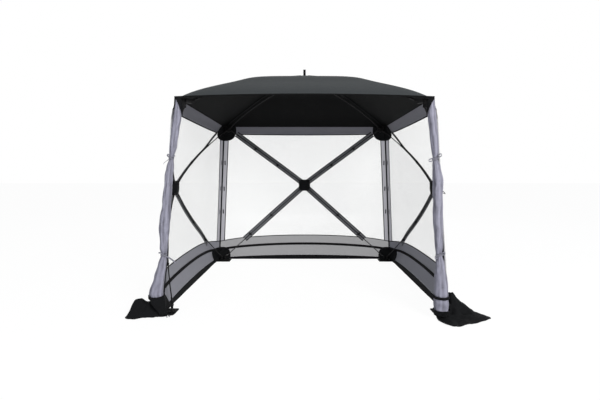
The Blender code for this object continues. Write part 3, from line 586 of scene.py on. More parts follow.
def sheet_size(item):
    """The flat size of a cloth piece from its UV, which is in metres."""
    return extent([p.uv for p in item.data.uv_layers["cloth"].data])


def cut_area(item):
    """The area of a cloth piece's flat pattern, from its UV, which is in metres."""
    layer = item.data.uv_layers["cloth"].data
    return sum(polygon_area([layer[k].uv for k in face.loop_indices]) for face in item.data.polygons)


def declare_cut(item, carried):
    """Works out a cloth piece's flat size and cut area from its UV."""
    size = sheet_size(item)
    cut_area(item)


# The walls


def wall_line(face, name, beside):
    """A cloth line's place down a wall at a share of the way to the side edge."""
    bow = 1 - beside * beside
    places = {
        "top": face.top - ROOF_LIFT / 2,
        "header": face.top + HEADER_DEPTH + HEADER_SAG * bow,
        "centre": face.centre,
        "band": face.bottom - BAND_HEIGHT - BAND_RISE * bow,
        "line": face.bottom - BAND_LINE_HEIGHT - BAND_LINE_RISE * bow,
        "hem": face.bottom - HEM_HEIGHT - HEM_RISE * bow,
        "ground": face.bottom - GROUND_GAP,
    }
    return places[name]


# How far out from the cloth each sewn piece lies, inwards being negative, and how thick it is
SEWN_LAYERS = {
    "strip_seam": (-0.5 * MM, 0.0),
    "edge_binding": (-0.8 * MM, 2.0 * MM),
    "header_binding": (-0.6 * MM, STRAP),
    "band_binding": (-1.6 * MM, THICK_STRAP),
    "band_webbing": (-5.0 * MM, THICK_STRAP),
}
# How deep each loose cloth's folds are, and their seed
WRINKLES = {
    "strip": (1.5 * MM, 3.0),
    "header": (1.0 * MM, 0.0),
    "band_upper": (2.5 * MM, 5.0),
    "band_lower": (2.5 * MM, 5.0),
    "hem": (2.0 * MM, 0.0),
}


def quarter_sheet(label, arm, lines, sides, steps, paint):
    """A cloth piece of one quarter of a wall, between two lines and between two distances across.

    lines holds (line name, shift) pairs. sides holds (share of the half width, shift) pairs.
    """
    out, thickness = SEWN_LAYERS.get(label, (0.0, 0.0))
    wrinkle, seed = WRINKLES.get(label, (0.0, 0.0))
    face = arm.face

    def place(drop, share):
        beside = mix(sides[0][0], sides[1][0], share)
        low, high = (wall_line(face, line, beside) + shift for line, shift in lines)
        down = mix(low, high, drop)
        half = face.half_width(down)
        near, far = (part * half + shift for part, shift in sides)
        across = arm.across * mix(near, far, share)
        fold = wrinkle * crumple((across, down, 0), 9.0, seed)
        fold += wrinkle * 0.5 * crumple((across * 0.6, down * 2.2, 1.0), 30.0, seed)
        fade = sin(pi * share) ** 0.5 if 0 < share < 1 else 0.0
        return face.on_skin(across, down, out + fold * fade), (across, down)

    columns, count = steps
    name, outer, inner = f"{label}_{arm.name}", levels(0, 1, count), levels(0, 1, columns)
    return dress(cloth(name, paint, outer, inner, place, face.outward, thickness), arm)


def pair(first, second):
    """The span from one line to another."""
    return [(first, 0.0), (second, 0.0)]


def around(line, width, middle=0.0):
    """The span of a binding along a line."""
    return [(line, middle - width / 2), (line, middle + width / 2)]


def build_quarter(arm):
    """The cloth of one quarter of a wall, each piece with the trim that is sewn to it."""
    face = arm.face
    upper = arm.down < 0
    middle = pair("header", "centre") if upper else pair("centre", "band")
    net = quarter_sheet("net", arm, middle, [(0.0, 0.0), (1.0, -SIDE_STRIP)], (34, 30), "net")
    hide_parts("net_" + face.name)
    declare_cut(net, arm.body)
    strip = quarter_sheet("strip", arm, middle, [(1.0, -SIDE_STRIP), (1.0, -BINDING / 2)], (5, 36), "strip")
    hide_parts("border_" + face.name)
    ends = pair("top", "centre") if upper else pair("centre", "ground")
    sewn = [
        quarter_sheet("strip_seam", arm, middle, around(1.0, BINDING, -SIDE_STRIP), (2, 30), "black"),
        quarter_sheet("edge_binding", arm, ends, [(1.0, -BINDING), (1.0, 0.0)], (2, 40), "black"),
    ]
    if arm.corner.startswith("front"):
        sewn.append(build_piping(arm))
    declare_cut(strip, arm.body)
    across = [(0.0, 0.0), (1.0, -BINDING / 2)]
    if upper:
        cloths = [quarter_sheet("header", arm, pair("top", "header"), across, (34, 5), "header")]
        trims = [("header_binding", "header", BINDING, "black")]
    else:
        paint = "open_grey" if face.name == "back" else "grey"
        cloths = [
            quarter_sheet("band_upper", arm, pair("band", "line"), across, (40, 10), paint),
            quarter_sheet("band_lower", arm, pair("line", "hem"), across, (40, 10), paint),
        ]
        trims = [("band_binding", "band", BINDING, "black"), ("band_webbing", "line", WEBBING, "webbing")]
    for band, (label, line, width, paint) in zip(cloths, trims):
        trim = quarter_sheet(label, arm, around(line, width), across, (34, 2), paint)
        declare_cut(band, arm.body)
    if not upper:
        hem = quarter_sheet("hem", arm, pair("hem", "ground"), across, (40, 4), "black")
        declare_cut(hem, arm.body)
    build_tape(arm)


PIPING_RADIUS = 8.0 * MM
PIPING_INSET = 2.0 * MM


def build_piping(arm):
    """The round black piping down a side wall's front edge."""
    face = arm.face
    low, high = (face.top, face.centre) if arm.down < 0 else (face.centre, face.bottom - GROUND_GAP)
    rows = []
    for down in levels(low, high, 40):
        row = []
        for turn in levels(0, TURN, 10):
            across = arm.across * (face.half_width(down) - PIPING_INSET + PIPING_RADIUS * cos(turn))
            row.append(face.on_skin(across, down, -PIPING_RADIUS * (1 + sin(turn))))
        rows.append(row)
    return dress(new_piece("front_piping_" + arm.name, "black", rows), arm)


TAPE_SHARES = {"upper": (-0.01, 0.95), "lower": (-0.01, 0.775)}
LOOP_SHARES = {"upper": (0.36, 0.68), "lower": (0.42, 0.70)}
TAPE_OUT = -2.2 * MM
TAPE_TRIM_OUT = -3.0 * MM
TAPE_THICKNESS = 0.8 * MM


def build_tape(arm):
    """The tape along one pole with its bound edges, a black strip down its middle as painted shadow of the
    rod, and the loops that hold the rod to it.
    """
    face = arm.face
    half = (SIDE_TAPE_WIDTH if arm.down < 0 and face.name != "back" else TAPE_WIDTH) / 2
    layers = []
    for label, low, high, columns, out, paint in (
        ("tape_", -half, half, 6, TAPE_OUT, "tape"),
        ("tape_edge_near_", -half, -half + TAPE_EDGE, 1, TAPE_TRIM_OUT, "black"),
        ("tape_edge_far_", half - TAPE_EDGE, half, 1, TAPE_TRIM_OUT, "black"),
        # A black strip down the tape's middle: painted shadow of the rod.
        ("tape_seam_", -TAPE_ROD_SHADOW / 2, TAPE_ROD_SHADOW / 2, 1, TAPE_TRIM_OUT, "black"),
    ):

        def place(share, beside, out=out):
            return face.on_skin(*arm.spot(share, beside), out), (beside, share * arm.reach)

        outer, inner = levels(*TAPE_SHARES[arm.level], 36), levels(low, high, columns)
        item = cloth(label + arm.name, paint, outer, inner, place, face.outward, TAPE_THICKNESS)
        layers.append(dress(item, arm))
    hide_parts("tapes_" + face.name)
    declare_cut(layers[0], arm.body)
    for k, share in enumerate(LOOP_SHARES[arm.level]):
        build_rod_loop(arm, share, f"rod_loop_{k + 1}_{arm.name}")


ROD_LOOP_FOOT = 22.0 * MM
ROD_LOOP_WIDTH = 26.0 * MM
ROD_LOOP_CLEARANCE = 1.5 * MM
ROD_LOOP_STEP = 1.0 * MM
ROD_LOOP_SPREAD_SHARE = 1.3


def build_rod_loop(arm, share, name):
    """A webbing loop from the tape round the rod and back."""
    face = arm.face
    middle = arm.spot(share)
    rod = arm.height(share)
    radius = ROD_RADIUS + ROD_LOOP_CLEARANCE
    spread = radius * ROD_LOOP_SPREAD_SHARE
    skin = face.skin(*middle) + TAPE_TRIM_OUT
    bend = [(-radius * cos(turn), rod - radius * sin(turn)) for turn in levels(0, pi, 10)]
    start = [(-ROD_LOOP_FOOT, skin), (-spread, skin - ROD_LOOP_STEP)]
    end = [(spread, skin - ROD_LOOP_STEP), (ROD_LOOP_FOOT, skin)]
    points = [face.point(*(middle + arm.side * beside), out) for beside, out in start + bend + end]
    item = ribbon(name, points, face.axes @ arm.out.to_3d(), ROD_LOOP_WIDTH, STRAP, "webbing")
    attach(item, arm.body)


# The roof

HEM_RADIUS = 3.0 * MM
FRONT_HEM_RADIUS = 5.0 * MM
RIDGE_SEAM_WIDTH = 12.0 * MM
RIDGE_TAPE_WIDTH = 30.0 * MM
RIDGE_TAPE_DROP = 5.2 * MM


def front_bow(x, y):
    """How far the roof's free front edge bows up between its corners."""
    near = smooth((-y / TOP_HALF - 0.5) / 0.5)
    return FRONT_BOW * near * (1 - (x / TOP_HALF) ** 2)


def on_roof(x, y):
    return ROOF.on_skin(x, y, front_bow(x, y))


def build_roof_hem(arm, along_x):
    """The rolled hem along one half of a side or, along x, of the front or back of the roof."""
    reaches = levels(0.0, TOP_HALF, 40)
    corner = [TOP_HALF] * len(reaches)
    across, down = (reaches, corner) if along_x else (corner, reaches)
    points = [on_roof(arm.across * x, arm.down * y) for x, y in zip(across, down)]
    runs = [0.0]
    for near, far in zip(points, points[1:]):
        runs.append(runs[-1] + (far - near).length)
    radius = FRONT_HEM_RADIUS if along_x and arm.down < 0 else HEM_RADIUS
    middle = Vector((0, CENTRE_Y, CORNER_HEIGHT))
    away = Vector((0, arm.down, 0)) if along_x else Vector((arm.across, 0, 0))
    sink = Vector((0, 0, -radius * 0.9))

    def place(k, turn):
        size = radius * (1 + 0.08 * crumple(points[k] - middle, 40.0, turn))
        ring = size * (cos(turn) * away + Vector((0, 0, sin(turn))))
        return points[k] + sink + ring, (turn * radius, runs[k])

    name = f"roof_hem_{'end' if along_x else 'side'}_{arm.corner}"
    return dress(cloth(name, "roof_inside", range(len(points)), levels(0, TURN, 12), place), arm)


def build_ridge_seam(arm):
    """The felled seam along a ridge of the roof, over its pole, and the tape under it."""
    reaches = [TOP_HALF * share for share in levels(0.04, 0.99, 40)]
    points = [ROOF.on_skin(arm.across * reach, arm.down * reach, STRAP) for reach in reaches]
    wide = (arm.across, -arm.down, 0)
    seam = ribbon("ridge_seam_" + arm.corner, points, wide, RIDGE_SEAM_WIDTH, STRAP, "roof")
    points = [point - Vector((0, 0, RIDGE_TAPE_DROP)) for point in points]
    tape = ribbon("ridge_tape_" + arm.corner, points, wide, RIDGE_TAPE_WIDTH, STRAP, "black")
    return [dress(seam, arm), dress(tape, arm)]


def build_roof_quarter(arm):
    """A quarter of the roof's cloth, dark inside, with its hems and ridge seam."""

    def place(down, across):
        x, y = arm.across * across, arm.down * down
        return on_roof(x, y), (x, y)

    steps = levels(0, TOP_HALF, 44)
    item = cloth("roof_canopy_" + arm.corner, ("roof", "roof_inside"), steps, steps, place, UP)
    thicken(item, CLOTH, 1.0, 1)
    even = item.modifiers.new("even shading", "WEIGHTED_NORMAL")
    even.keep_sharp = True
    dress(item, arm)
    sewn = [build_roof_hem(arm, along_x) for along_x in (False, True)] + build_ridge_seam(arm)
    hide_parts("roof_canopy")


# Patches, straps and tabs

# Each patch's half sizes and how square it is
TOP_PATCH = (0.155, 0.180, 2.6)
BOTTOM_PATCH = (0.150, 0.170, 3)
BOTTOM_PATCH_BESIDE = (0.250, 0.170, 3)
HUB_PATCH = (0.078, 0.078, 5)
HUB_DOME = 0.056
CORNER_PATCH_OUT = -4.5 * MM
HUB_PATCH_OUT = -4.0 * MM


def superellipse(turn, wide, high, power):
    """The radius at a turn of a rounded box of the given half sizes."""
    return ((abs(cos(turn)) / wide) ** power + (abs(sin(turn)) / high) ** power) ** (-1 / power)


def build_patch(name, arm, centre, shape, turns, out, thickness=CLOTH, body=None, dome=0.0):
    """A black patch on a wall's cloth round a corner or hub."""
    face = arm.face
    low, high = face.top - ROOF_LIFT / 2, face.bottom - GROUND_GAP

    def place(share, turn):
        radius = superellipse(turn, *shape) * share
        across = centre[0] + arm.across * radius * cos(turn)
        down = min(max(centre[1] + radius * sin(turn), low), high)
        return face.on_skin(across, down, out - dome * sqrt(1 - share * share)), (across, down)

    item = cloth(name, "black", levels(0.02, 1.0, 9), levels(*turns, 22), place, face.outward, thickness)
    if body:
        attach(item, body)
    else:
        dress(item, arm)
    declare_cut(item, body or arm.body)


def build_patches(face):
    """The patches over a wall's four corners and its hub."""
    for arm in face.arms:
        if arm.down < 0:
            edge, shape, turns = face.top, TOP_PATCH, (pi / 2, pi)
        else:
            shape = BOTTOM_PATCH if face.name == "back" else BOTTOM_PATCH_BESIDE
            edge, turns = face.bottom, (pi, 1.5 * pi)
        corner = (arm.across * face.half_width(edge), edge)
        build_patch("corner_patch_" + arm.name, arm, corner, shape, turns, CORNER_PATCH_OUT)
    name, hub, centre = "hub_patch_" + face.name, face.name + "_hub", (0, face.centre)
    build_patch(name, face.arms[0], centre, HUB_PATCH, (0, TURN), HUB_PATCH_OUT, PAD_CLOTH, hub, HUB_DOME)


TAB_HEIGHTS = (1.295, 0.955, 0.650)
TAB_LENGTH = 0.056
TAB_WIDTH = 13.0 * MM
TAB_OUT = 2.0 * MM
TAB_BOW = 4.5 * MM


def build_tabs(face):
    """The dark tabs sewn down the light strips beside the back corners."""
    for arm in face.arms:
        for k, height in enumerate(TAB_HEIGHTS):
            down = face.top + (CORNER_HEIGHT - height) / cos(LEAN)
            if arm.corner.startswith("front") or (down < face.centre) != (arm.down < 0):
                continue
            across = arm.across * (face.half_width(down) - SIDE_STRIP / 2)
            points = []
            for share in levels(-0.5, 0.5, 8):
                lift = -TAB_OUT - TAB_BOW * (1 - (2 * share) ** 2)
                points.append(face.on_skin(across, down + share * TAB_LENGTH, lift))
            name = f"strip_tab_{k + 1}_{arm.name}"
            dress(ribbon(name, points, face.across, TAB_WIDTH, THICK_STRAP, "webbing"), arm)


LOOP_LENGTH = 0.110
ROOF_LOOP_LENGTH = 0.058
LOOP_HALF = 14.0 * MM
LOOP_FOOT = 2.0 * MM
STRAP_WIDTH = 25.0 * MM
WALL_LOOP_DROOP = radians(38.0)


def build_pull_strap(face, droop, length=LOOP_LENGTH):
    """A flat loop of webbing sewn to the outside of a hub, standing up on the roof."""
    name = "pull_strap_" + face.name
    base = face.point(0, face.centre, face.skin(0, face.centre) + LOOP_FOOT)
    droop_turn = Matrix.Rotation(-droop, 3, "X")
    points = []
    for turn in levels(0, TURN, 40):
        stand = length / 2 * (1 - cos(turn)) + LOOP_FOOT
        swell = LOOP_HALF * sin(turn) * (0.75 + 0.25 * cos(turn + 0.6))
        points.append(base + face.axes @ (droop_turn @ Vector((0, swell, stand))))
    item = ribbon(name + "_dressed", points, face.across, STRAP_WIDTH, THICK_STRAP, "webbing")
    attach(item, face.name + "_hub")
    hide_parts(name)


# The door, gathered and tied along the front edges

DOOR_TURNS = 8
DOOR_TURN_STEPS = 22
DOOR_GAP = 3.0 * MM
DOOR_SPLIT_DROP = 0.785
DOOR_SPLIT = CORNER_HEIGHT - DOOR_SPLIT_DROP
DOOR_FIT_SHARE = 1.04
DOOR_FOOT = {"left": 0.150, "right": 0.062}
DOOR_SEED = {"left": 3.7, "right": 11.2}
DOOR_START = {"left": pi / 4, "right": pi / 3}
# Down each bundle: height, how far inside the tent's front edge its middle is, and radius
DOOR_LEVELS = {
    "left": metres(
        *((1752, 36, 20), (1700, 44, 28), (1604, 46, 35), (1483, 34, 35), (1369, 25, 33), (1263, 11, 19)),
        *((1200, 9, 31), (1125, 4, 35), (893, -1, 38), (748, -3, 48), (557, -2, 34), (498, -2, 24)),
        *((430, -6, 36), (325, -18, 46), (205, -36, 60), (175, -30, 58), (130, -14, 54), (30, 22, 36)),
    ),
    "right": metres(
        *((1752, 26, 20), (1700, 40, 32), (1610, 42, 37), (1440, 36, 35), (1340, 32, 32), (1263, 32, 21)),
        *((1200, 29, 37), (1090, 26, 47), (950, 34, 44), (790, 45, 44), (570, 46, 34), (498, 46, 25)),
        *((430, 47, 40), (250, 56, 60), (205, 60, 64), (175, 60, 60), (130, 62, 64), (30, 66, 58)),
    ),
}
SKIRT_TOP = {"left": 0.170, "right": 0.075}
SKIRT_FOOT = 4.0 * MM
SKIRT_LOOSENESS = 5.0 * MM
TIE_HEIGHTS = {"upper": 1.263, "lower": 0.498}
SKIRT_TIE = 0.177
SKIRT_STRAP_WIDTH = 22.0 * MM
SKIRT_STRAP_CLEARANCE = 1.5 * MM
SKIRT_STRAP_FIT_SHARE = 1.03
SKIRT_STRAP_TILT_SHARE = 0.1
TIE_FIT_SHARE = 1.02
TIE_CLEARANCE = 1.2 * MM
TIE_TILT_SHARE = 0.12
TIE_WIDTH = 16.0 * MM
TIE_THICKNESS = 1.2 * MM
TIE_END_WIDTH = 13.0 * MM
TIE_END_THICKNESS = 1.4 * MM
TIE_END_WAY = (0.15, 0.8, 0.6)
TIE_END_LIFT = 6.0 * MM
TIE_END_OUT = 7.0 * MM
KNOT_LENGTH = 22.0 * MM
KNOT_RADIUS = 10.0 * MM
KNOT_OUT = 4.0 * MM
# Each tie's ends: reach inwards, reach up, and a loop's width as a share of that, or 0 for a tail
TIE_ENDS = {
    ("left", "upper"): ((-0.062, -0.042, 0.0), (0.030, 0.014, 0.16), (-0.030, 0.026, 0.16)),
    ("left", "lower"): ((0.098, -0.062, 0.0), (-0.040, 0.020, 0.0), (0.024, 0.018, 0.16)),
    ("right", "upper"): ((0.052, -0.026, 0.17), (-0.050, 0.026, 0.17), (-0.026, -0.075, 0.0)),
    ("right", "lower"): ((0.034, -0.030, 0.18), (-0.046, 0.012, 0.18), (0.020, -0.045, 0.0)),
}
PATCH_DEGREES = (35, -120)
PATCH_CLEARANCE = 3.0 * MM
PATCH_DROP = 0.025
PATCH_CORNER_DROP = 0.140


def door_at(side, height):
    """The bundle's middle, and its radius, at a height."""
    table = DOOR_LEVELS[side]
    height = min(max(height, table[-1][0]), table[0][0])
    above, below = next((a, b) for a, b in zip(table, table[1:]) if b[0] <= height)
    share = smooth((above[0] - height) / (above[0] - below[0]))
    inward = mix(above[1], below[1], share)
    radius = mix(above[2], below[2], share)
    edge = FLOOR_HALF - FLOOR_SPREAD * height / CORNER_HEIGHT
    middle = (SIGN[side] * (edge - inward), CENTRE_Y - edge - DOOR_GAP - radius * DOOR_FIT_SHARE, height)
    return Vector(middle), radius


def pleated(height, turn, seed):
    """The bundle's radius as a share of its widest, and how far it stands out of its creases."""
    drift = 2.2 * crumple((0, 0, height), 2.3, seed) + 1.3 * height
    round_place = (cos(turn), sin(turn), height * 2.0)
    broad = abs(sin(2.5 * turn + drift + 0.5 * sin(2 * turn + seed))) ** 0.55
    narrow = abs(sin(4.5 * turn - 1.6 * drift + seed)) ** 0.7
    slanted = abs(sin(1.5 * turn + 19 * height + 2.5 * crumple(round_place, 1.7, seed))) ** 0.5
    pinch = min(abs(height - tie) for tie in (*TIE_HEIGHTS.values(), SKIRT_TIE))
    near = smooth(pinch / 0.10)
    stand = mix(0.25, 0.48, near) * broad + mix(0.57, 0.27, near) * narrow + mix(0.18, 0.25, near) * slanted
    deep = mix(0.36, 0.45, near)
    rumple = 0.07 * crumple((cos(turn) * 0.6, sin(turn) * 0.6, height * 5.0), 2.6, seed)
    return 1 - deep + deep * stand + rumple, stand


def beside_door(side, middle, size, turn):
    return middle + size * Vector((-SIGN[side] * cos(turn), sin(turn), 0))


def door_row(side, height):
    """A level of the rolled bundle: its points, their flat places and how far each stands out."""
    middle, radius = door_at(side, height)
    row, places, stands = [], [], []
    run = 0.0
    for share in levels(0, 1, DOOR_TURNS * DOOR_TURN_STEPS):
        turn = TURN * DOOR_TURNS * share + DOOR_START[side]
        fold, stand = pleated(height, turn, DOOR_SEED[side])
        size = radius * mix(0.20, 1.0, share**0.75)
        size *= mix(1.0, fold, 0.35 + 0.65 * share)
        row.append(beside_door(side, middle, size, turn))
        run += (row[-1] - row[-2]).length if places else 0.0
        places.append((run, height))
        stands.append(stand)
    return row, places, stands


def build_door(side):
    """Half of the door, rolled round itself into a pleated bundle, in an upper and a lower length."""
    ends = (DOOR_LEVELS[side][0][0], DOOR_SPLIT, DOOR_FOOT[side])
    for level, high, low in zip(("upper", "lower"), ends, ends[1:]):
        rows, flat, stands = zip(*[door_row(side, height) for height in levels(high, low, 72)])
        item = new_piece(f"door_{side}_{level}", "door", rows, flat)
        # The fold attribute holds how far each point stands out, from which the door cloth paints shade into
        # its valleys.
        shades = item.data.attributes.new("fold", "FLOAT", "POINT")
        shades.data.foreach_set("value", [stand for row in stands for stand in row])
        dress(item, front_arm(side, level))
        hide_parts("door_" + side)
    for level, height in TIE_HEIGHTS.items():
        build_tie(side, level, height)
    build_skirt_strap(side)
    build_skirt(side)
    build_door_patch(side)


def build_skirt(side):
    """The door's black foot, loose and creased below its strap."""
    top = SKIRT_TOP[side]

    def place(height, turn):
        middle, radius = door_at(side, height)
        share = 1 - height / top
        flare = radius * (1.0 + 0.06 * share * (1 + 0.6 * cos(turn + SIGN[side] * 0.8)))
        fold = 0.24 * abs(sin(3.5 * turn + 2.2 * share)) ** 0.7
        fold += 0.12 * crumple((cos(turn), sin(turn), share), 3.1, top)
        size = flare * (1 - smooth(share * 1.6) * fold) + SKIRT_LOOSENESS * (1 - share)
        spot = middle + Vector((size * cos(turn), size * sin(turn), 0))
        return spot, (radius * turn, height)

    item = cloth("door_skirt_" + side, "black", levels(top, SKIRT_FOOT, 26), levels(0, TURN, 96), place)
    dress(item, front_arm(side, "lower"))
    sheet_size(item)


def build_door_patch(side):
    """The black patch that wraps the bundle's top at the corner of the roof."""
    top = CORNER_HEIGHT - ROOF_LIFT / 2
    start, end = PATCH_DEGREES

    def place(share, part):
        height = top - share * (PATCH_DROP + PATCH_CORNER_DROP * smooth(1 - part) ** 0.8)
        middle, radius = door_at(side, height)
        size = radius * DOOR_FIT_SHARE + PATCH_CLEARANCE
        spot = beside_door(side, middle, size, radians(mix(start, end, part)))
        return Vector((spot.x, spot.y, height)), (size * radians(start - end) * part, height)

    name = "door_corner_patch_" + side
    item = thicken(cloth(name, "black", levels(0.0, 1.0, 14), levels(0.0, 1.0, 20), place), CLOTH, 0.0)
    dress(item, front_arm(side, "upper"))
    declare_cut(item, f"door_{side}_upper")


def build_tie(side, level, height):
    """A tape tied round the bundle in a knot, with its tails and loops."""
    arm = front_arm(side, level)
    name = f"door_tie_{level}_{side}"
    middle, radius = door_at(side, height)
    size = radius * TIE_FIT_SHARE + TIE_CLEARANCE
    points = []
    for turn in levels(0, TURN, 32):
        tilt = TIE_TILT_SHARE * radius * cos(turn)
        points.append(middle + Vector((size * cos(turn), size * sin(turn), tilt)))
    tie = dress(ribbon(name + "_band", points, UP, TIE_WIDTH, TIE_THICKNESS, "grey_webbing"), arm)
    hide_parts(name)
    knot = middle + Vector((-SIGN[side] * radius * 0.35, -radius * 0.95 - KNOT_OUT, 0))
    for k, (across, rise, loop) in enumerate(TIE_ENDS[side, level]):
        points = []
        for share in levels(0, 1, 18):
            reach = sin(pi * share) if loop else share
            belly = loop * sin(TURN * share)
            aside = -SIGN[side] * (across * reach - rise * belly)
            lift = TIE_END_LIFT * sin(pi * share)
            points.append(knot + Vector((aside, -TIE_END_OUT * reach, rise * reach + across * belly + lift)))
        end = f"{name}_end_{k + 1}"
        dress(ribbon(end, points, TIE_END_WAY, TIE_END_WIDTH, TIE_END_THICKNESS, "grey_webbing"), arm)
    rows = []
    for share in levels(0.02, 0.98, 8):
        ring = []
        for turn in levels(0, TURN, 14):
            size = KNOT_RADIUS * sin(pi * share) * (1 + 0.2 * sin(3 * turn))
            along = (share - 0.5) * KNOT_LENGTH
            ring.append(knot + Vector((along, size * cos(turn), size * sin(turn))))
        rows.append(ring)
    dress(new_piece(name + "_knot", "grey_webbing", rows), arm)


def build_skirt_strap(side):
    """The black strap that holds the bundle's foot."""
    middle, radius = door_at(side, SKIRT_TIE)
    size = radius * SKIRT_STRAP_FIT_SHARE + SKIRT_STRAP_CLEARANCE
    tilt = SKIRT_STRAP_TILT_SHARE * size
    points = []
    for turn in levels(0, TURN, 40):
        points.append(middle + Vector((size * cos(turn), size * sin(turn), tilt * sin(turn))))
    strap = ribbon("door_skirt_strap_" + side, points, UP, SKIRT_STRAP_WIDTH, STRAP, "webbing")
    dress(strap, front_arm(side, "lower"))


# The black cloth at the feet

PAD_HALF = 0.085
FLAP_MIDDLE = (0.06, -0.06)
FLAP_SEED = {"left": 5.3, "right": 17.9}
# Round each flap from its foot's middle: outwards and backwards, ending beside the foot
FLAP_FOOT_RIM = ((0, 70), (-35, 60), (-40, 0), (-40, -70))
FLAP_RIMS = {
    "left": metres(
        *((-30, -120), (10, -150), (60, -160), (175, -190), (285, -212), (330, -150), (300, -70)),
        *((225, -10), (150, 35), (85, 70), *FLAP_FOOT_RIM),
    ),
    "right": metres(
        *((-44, -120), (-52, -265), (17, -375), (172, -316), (365, -200), (340, -110), (270, -35)),
        *((190, 10), (120, 45), (80, 75), *FLAP_FOOT_RIM),
    ),
}
# Along each flap's ridge: how far out and how high
FLAP_RIDGES = {
    "left": metres((40, 30), (100, 75), (180, 108), (240, 128), (285, 112), (325, 30), (400, 0)),
    "right": metres((40, 195), (100, 158), (190, 88), (280, 28), (330, 30), (400, 10), (410, 0)),
}
# Each ridge's place, and how wide it is before and behind it
FLAP_RIDGE_PLACES = {"left": (-0.112, 0.060, 0.060), "right": (-0.020, 0.085, 0.040)}
# The part of a flap that lies flat under its foot and behind it
FLAP_FLAT_HALF = 0.066
FLAP_FLAT_SIDE = 0.030
FLAP_FLAT_FRONT = 0.15
FLAP_FLAT_EDGE = 0.03
FLAP_FLAT_FRONT_EDGE = 0.05
FLAP_RIDGE_START = 0.01
FLAP_RIDGE_RUN = 0.06
FLAP_FOLDS = 0.020
FLAP_CREASES = 0.009
FLAP_LIFT = 2.0 * MM
FLAP_GRAIN = 1.5 * MM
FLAP_LAYERS = 30
FLAP_STEPS = 8
PEG_RING_PLACE = (-0.010, -0.150, 9.0 * MM)
PEG_RING_RADIUS = 13.0 * MM
PEG_WIRE_RADIUS = 2.0 * MM
PEG_LOOP_START = (-0.004, -0.105, 5.0 * MM)
PEG_LOOP_OVER = (0, PEG_RING_RADIUS, 5.0 * MM)
PEG_LOOP_END = (0, 9.0 * MM, -2.0 * MM)
PEG_LOOP_WIDTH = 18.0 * MM
PAD_LIFT = 1.5 * MM
PAD_WRINKLE = 1.6 * MM


def foot_middle(corner):
    """The middle of a corner's foot pins, over the ground."""
    arms = [arm for face in WALLS.values() for arm in face.arms if arm.down > 0 and arm.corner == corner]
    spots = [arm.face.point(*arm.corner_pin, 0) for arm in arms]
    return Vector((sum(s.x for s in spots) / len(spots), sum(s.y for s in spots) / len(spots), 0))


def flap_rim(rims):
    """A smooth closed outline through a flap's rim points."""
    count = len(rims)
    outline = []
    for k in range(count):
        a, b, c, d = (Vector(rims[(k + i) % count]) for i in (-1, 0, 1, 2))
        for t in levels(0, 1, FLAP_STEPS)[:-1]:
            square = (2 * a - 5 * b + 4 * c - d) * t * t
            outline.append(0.5 * (2 * b + (c - a) * t + square + (3 * b - a - 3 * c + d) * t**3))
    return outline + outline[:1]


def flap_height(side, spot, share):
    """How high a ground flap's crumpled cloth stands over a place beside its foot."""
    seed = FLAP_SEED[side]
    clear = smooth((max(abs(spot.x), abs(spot.y)) - FLAP_FLAT_HALF) / FLAP_FLAT_EDGE)
    inside = smooth((FLAP_FLAT_SIDE - spot.x) / FLAP_FLAT_EDGE)
    clear *= 1 - inside * smooth((spot.y + FLAP_FLAT_FRONT) / FLAP_FLAT_FRONT_EDGE)
    table = FLAP_RIDGES[side]
    out = min(max(spot.x, table[0][0]), table[-1][0] - 1e-6)
    near, far = next((a, b) for a, b in zip(table, table[1:]) if b[0] > out)
    crest = mix(near[1], far[1], (out - near[0]) / (far[0] - near[0]))
    place, before, behind = FLAP_RIDGE_PLACES[side]
    off = spot.y - place
    start = smooth((spot.x + FLAP_RIDGE_START) / FLAP_RIDGE_RUN)
    crest *= exp(-((off / (before if off < 0 else behind)) ** 2)) * start
    ridge = 1 - abs(crumple((spot.x, spot.y, 0), 9.0, seed)) * 2.2
    fine = 1 - abs(crumple((spot.x, spot.y, 1), 21.0, seed)) * 2.0
    rough = (FLAP_FOLDS * ridge + FLAP_CREASES * fine) * (1 - 0.7 * share**2)
    height = crest * (0.86 + 0.18 * ridge) * (1 - share**9) + rough
    return max(height, 0.0) * clear + FLAP_LIFT + FLAP_GRAIN * abs(fine)


def build_flap(side):
    """The ground flap at a front foot: loose black cloth, thrown outwards and crumpled.

    Both flaps are cut alike, to the outline of the right one, which lies flattest.
    """
    corner = "front_" + side
    foot = foot_middle(corner)

    def place(share, edge):
        spot = Vector(FLAP_MIDDLE).lerp(edge, share)
        height = flap_height(side, spot, share)
        return Vector((foot.x + SIGN[side] * spot.x, foot.y + spot.y, height)), tuple(spot)

    rim = flap_rim(FLAP_RIMS[side])
    item = cloth("ground_flap_" + side, "black", levels(0.02, 1.0, FLAP_LAYERS), rim, place, UP, CLOTH)
    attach(item, "foot_" + corner)
    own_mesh(item)
    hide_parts("foot_pad_" + corner)
    cut = flap_rim(FLAP_RIMS["right"])
    extent(cut)
    build_ring(side, foot)


